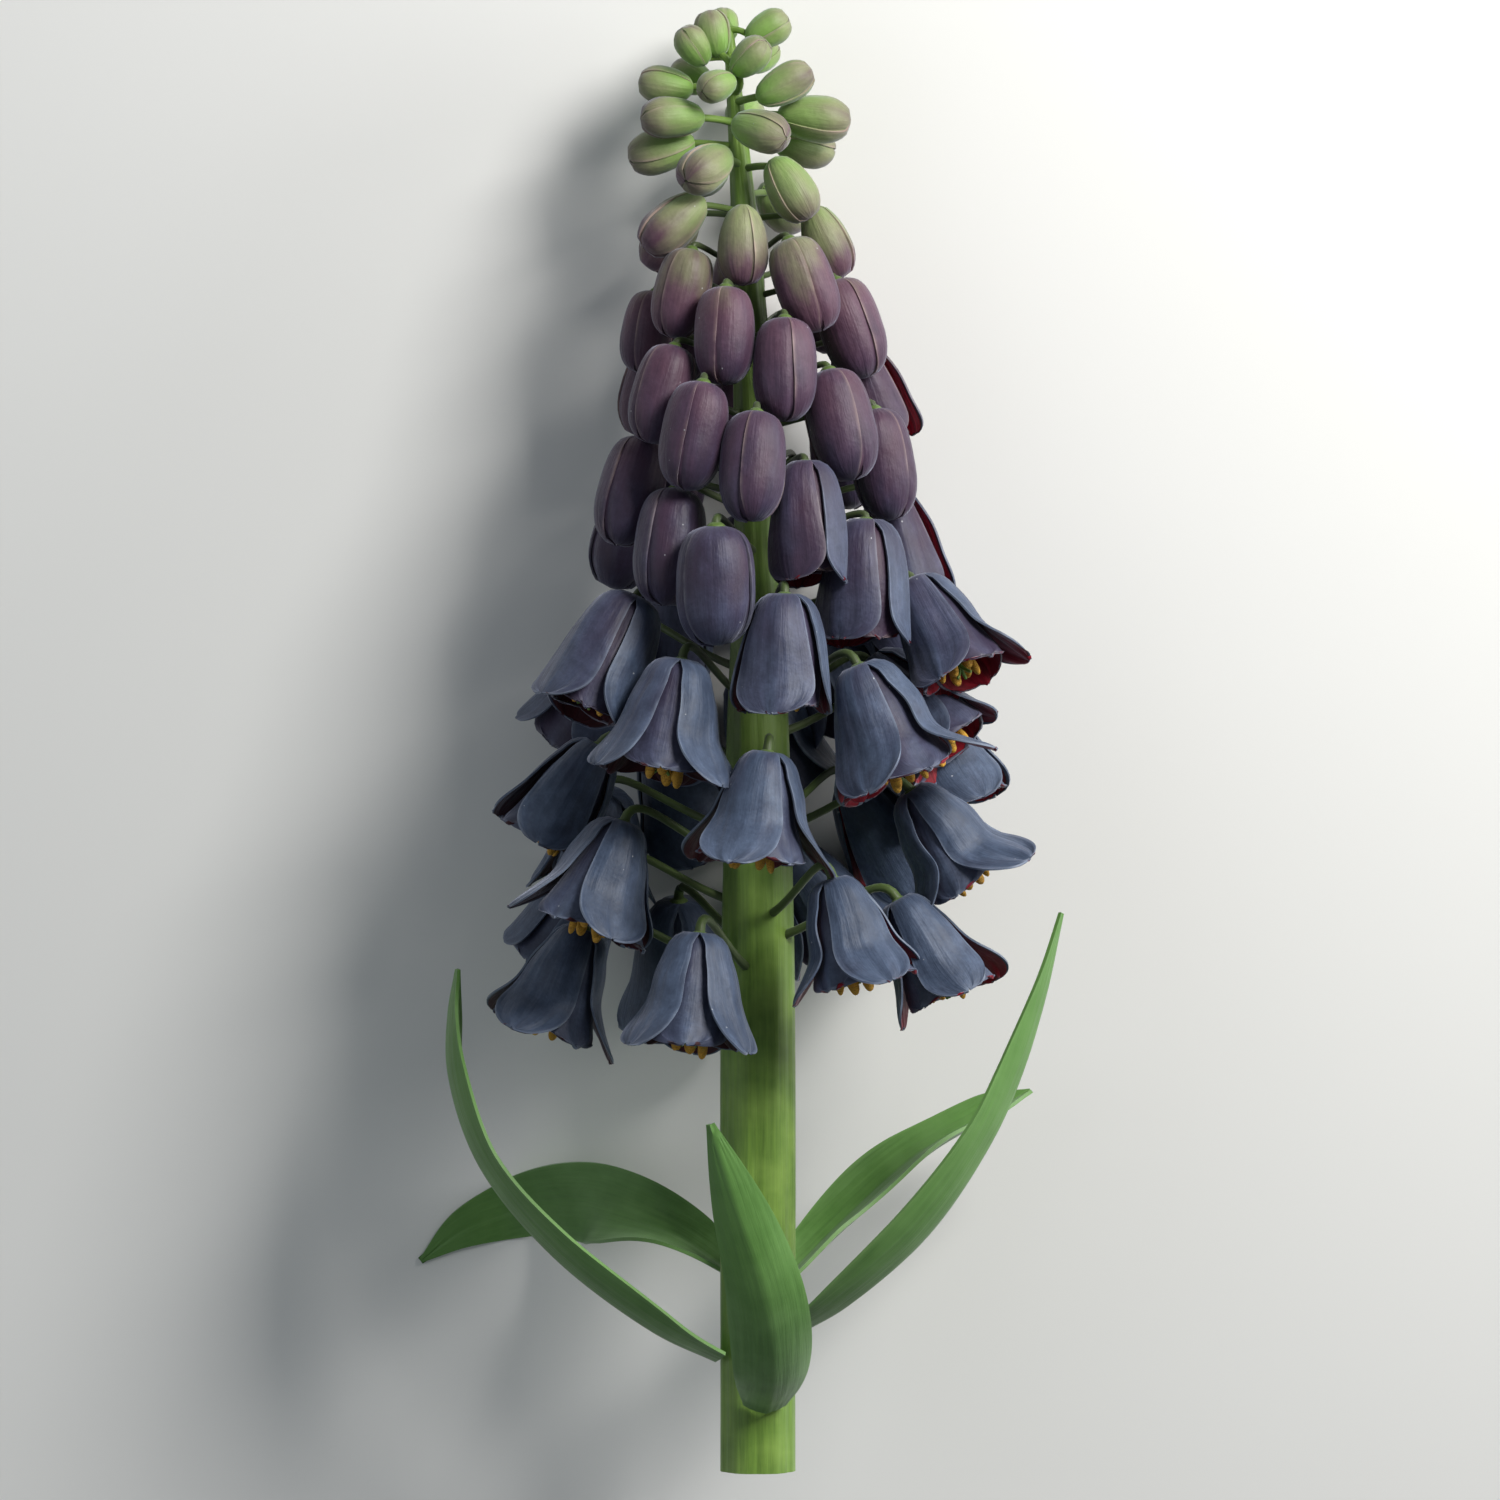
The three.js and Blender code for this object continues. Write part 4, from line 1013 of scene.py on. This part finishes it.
def tepal_material():
    """Waxy tepals: green, then plum, then slate blue as they ripen, veined along, dark maroon inside, with
    painted backlight crimson where light would come through.
    """
    w = Wiring("tepal")
    place = w.parts(w.read("place"))
    ripe, edge, inside = w.parts(w.read("tint"))
    seed = w.times(place[2], 40.0)
    here = w.join(place[0], place[1], seed)

    def noise_along(shortening, *values):
        return w.noise(w.join(place[0], w.times(place[1], shortening), seed), *values)

    streaks = noise_along(0.07, 1.3, 3.4, 0.6)
    patch = noise_along(0.5, 0.16, 3, 0.5)
    cloud = noise_along(0.7, 0.4, 3, 0.6)
    powder = w.noise(here, 1.7, 3, 0.6)
    mottled = w.plus(ripe, w.spread(patch, 0.3, 0.7, -0.16, 0.16))
    stage = w.times(mottled, 0.5)
    base = w.ramp(stage, [
        (0, (0.15, 0.28, 0.055)), (0.2, (0.16, 0.18, 0.085)), (0.38, (0.066, 0.026, 0.046)),
        (0.54, (0.034, 0.013, 0.031)), (0.66, (0.02, 0.011, 0.028)), (0.8, (0.017, 0.017, 0.038)),
        (1, (0.017, 0.027, 0.052))])
    pale = w.ramp(stage, [
        (0, (0.34, 0.49, 0.155)), (0.22, (0.31, 0.31, 0.18)), (0.42, (0.18, 0.095, 0.13)),
        (0.54, (0.106, 0.06, 0.102)), (0.66, (0.07, 0.054, 0.104)), (0.8, (0.086, 0.094, 0.165)),
        (1, (0.1, 0.14, 0.225))])
    bloom = w.times(w.spread(streaks, 0.25, 0.72, 0.6, 0.95), w.spread(patch, 0.3, 0.7, 0.35, 1.1))
    bloom = w.times(bloom, w.spread(cloud, 0.3, 0.7, 0.42, 1.22))
    bloom = w.times(bloom, w.spread(powder, 0.3, 0.7, 0.7, 1.1))
    bloom = w.times(bloom, w.spread(ripe, 0.4, 1.9, 0.45, 0.75))
    outer = w.mix(bloom, base, pale)
    outer = w.mix(w.times(w.spread(patch, 0.55, 0.8), 0.5), outer, (0.014, 0.007, 0.014))
    waning = w.noise(w.join(seed, w.times(place[1], 0.3), 0.0), 0.7, 2, 0.5)
    # Pale rim on the blades' edges: partly the tepals' own pale margins and partly a painted highlight along
    # the edges; tan on young buds, pale slate on ripe bells.
    rim = w.times(w.times(edge, edge), w.spread(ripe, 0.5, 1.3, 0.8, 0.36))
    rim = w.times(rim, w.spread(waning, 0.35, 0.62, 0.15, 1))
    outer = w.mix(rim, outer, w.mix(w.spread(ripe, 1.1, 1.6), (0.34, 0.25, 0.22), (0.29, 0.34, 0.43)))
    outer = w.mix(w.times(w.specks(here, 0.25, 0.045), 0.5), outer, (0.6, 0.62, 0.66))
    maroon = w.mix(w.spread(streaks, 0.3, 0.7), (0.014, 0.003, 0.005), (0.045, 0.006, 0.009))
    # Painted backlight: bright crimson that stands for light shining through the tepal, from the tint's
    # inner value 1 up to 2.
    backlight_crimson = w.mix(w.spread(streaks, 0.3, 0.7), (0.3, 0.002, 0.012), (0.9, 0.008, 0.045))
    inner = w.mix(w.spread(inside, 1, 2), maroon, backlight_crimson)
    w.set(Base_Color=w.mix(w.spread(inside, 0.85, 1), outer, inner),
          Roughness=w.spread(streaks, 0.3, 0.7, 0.58, 0.5),
          Specular_IOR_Level=w.spread(inside, 0, 1, 0.33, 0.15),
          Sheen_Weight=0.32, Sheen_Roughness=0.4, Sheen_Tint=(0.68, 0.72, 0.9, 1))
    w.bump(w.plus(w.times(streaks, 0.7), cloud), 0.45, 0.0005)
    return w.material


def green_material(name, pale, mid, dark, purple_and_shade):
    """Smooth waxy green, striped along its length, and darkened where the tint says so: partly the stalks'
    own purple-brown, partly painted shade under the flowers.
    """
    w = Wiring(name)
    place = w.parts(w.read("place"))
    tint = w.parts(w.read("tint"))
    stripes = w.noise(w.join(w.times(place[0], 1.2), w.times(place[1], 0.05), place[2]), 1.4, 4, 0.6)
    patch = w.noise(w.join(place[0], place[1], place[2]), 0.12)
    green = w.mix(w.spread(stripes, 0.3, 0.7), dark, mid)
    green = w.mix(w.times(w.spread(patch, 0.4, 0.7), 0.5), green, pale)
    green = w.mix(w.times(tint[1], 0.5), green, pale)
    colour = w.mix(w.times(tint[0], w.spread(patch, 0.25, 0.6, 0.6, 1)), green, purple_and_shade)
    w.set(Base_Color=colour, Roughness=0.48, Specular_IOR_Level=0.4, Sheen_Weight=0.15,
          Sheen_Tint=(0.8, 0.9, 0.85, 1))
    w.bump(stripes, 0.3, 0.0003)
    return w.material


def grained_material(name, dark, light, roughness, grain):
    w = Wiring(name)
    grains = w.noise(w.read("place"), grain)
    w.set(Base_Color=w.mix(w.spread(grains, 0.35, 0.65), dark, light), Roughness=roughness)
    w.bump(grains, 0.6, 0.0002)
    return w.material


def build_floor():
    mesh = bpy.data.meshes.new("floor")
    ways = ((-1, -1), (1, -1), (1, 1), (-1, 1))
    mesh.from_pydata([(x * FLOOR_SIZE, y * FLOOR_SIZE, -FLOOR_DROP) for x, y in ways], [], [(0, 1, 2, 3)])
    material, surface = new_material("floor")
    surface.inputs["Base Color"].default_value = (0.72, 0.72, 0.7, 1)
    surface.inputs["Roughness"].default_value = 0.7
    mesh.materials.append(material)
    put_in_scene("floor", mesh)


def look_from(thing, place, target):
    """Puts a camera or a lamp at a place in the stem's frame, facing a target with the tip up."""
    place, target = to_model(np.array(place, float)), to_model(np.array(target, float))
    back = unit(place - target)
    right = unit(np.cross(UP @ TURN, back))
    matrix = np.eye(4)
    matrix[:3, :3] = np.stack([right, np.cross(back, right), back], 1)
    matrix[:3, 3] = place
    thing.matrix_world = Matrix(matrix.tolist())


def add_lamp(name, place, size, power, colour):
    lamp = bpy.data.lights.new(name, "AREA")
    lamp.size = size
    lamp.energy = power
    lamp.color = colour
    look_from(put_in_scene(name, lamp), place, LAMP_AIM)


def build_camera():
    """The camera looks square to the stem, as the photograph does, with the tip at the top of its frame."""
    middle = np.array([0, TIP_MARGIN - FRAME_HEIGHT / 2, CAMERA_DEPTH])
    lens = bpy.data.cameras.new("camera")
    lens.sensor_width = 36
    lens.lens = lens.sensor_width * CAMERA_DISTANCE / FRAME_HEIGHT
    lens.clip_end = 20
    camera = put_in_scene("camera", lens)
    look_from(camera, middle + NEARER * CAMERA_DISTANCE, middle)
    bpy.context.scene.camera = camera


def build_light():
    for name, lamp in LAMPS.items():
        add_lamp(name, *lamp)
    world = bpy.data.worlds.new("studio")
    world.use_nodes = True
    background = world.node_tree.nodes["Background"]
    background.inputs["Color"].default_value = (*SKY, 1)
    background.inputs["Strength"].default_value = SKY_STRENGTH
    bpy.context.scene.world = world
    bpy.context.scene.view_settings.view_transform = "Standard"


def visual_bounds():
    """Bounds of everything that stands for the object."""
    bpy.context.view_layer.update()
    corners = [piece.matrix_world @ Vector(corner) for piece in bpy.context.scene.objects
               if "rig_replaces" in piece for corner in piece.bound_box]
    return [[pick(c[k] for c in corners) for k in range(3)] for pick in (min, max)]


flowers = all_flowers()
make_room(flowers)
green_buds = [flower for flower in flowers if flower.green]
bells = [flower for flower in flowers if not flower.green]
stem_corners = Corners("stem")
for flower in green_buds:
    fit_to_solid(flower, stem_corners)
for node, numbers in flower_nodes().items():
    corners = Corners(node)
    for number in numbers:
        fit_to_solid(bells[number - 1], corners)

tepal = tepal_material()
# The last colour, a near-black green, is the dark tint: the stalks' own purple-brown together with painted
# shade under the flowers.
stalk_green = green_material("stalk green", (0.24, 0.37, 0.07), (0.145, 0.26, 0.034), (0.08, 0.155, 0.018),
                             (0.024, 0.03, 0.013))
leaf_green = green_material("leaf green", (0.17, 0.32, 0.10), (0.085, 0.20, 0.04), (0.05, 0.13, 0.022),
                            (0.085, 0.20, 0.04))
filament = grained_material("filament", (0.16, 0.02, 0.03), (0.32, 0.10, 0.08), 0.5, 2)
anther = grained_material("anther", (0.34, 0.15, 0.012), (0.70, 0.40, 0.04), 0.75, 5)

build_flowers(bells, [tepal, stalk_green, filament, anther])
build_stem(flowers, stem_corners, [stalk_green, tepal])
for leaf_name, (leaf_half, leaf_path) in LEAVES.items():
    build_leaf(leaf_name, leaf_half, leaf_path, leaf_green)

build_floor()
build_light()
build_camera()
{"cad": [list(cad_low), list(cad_high)], "visual": visual_bounds()}
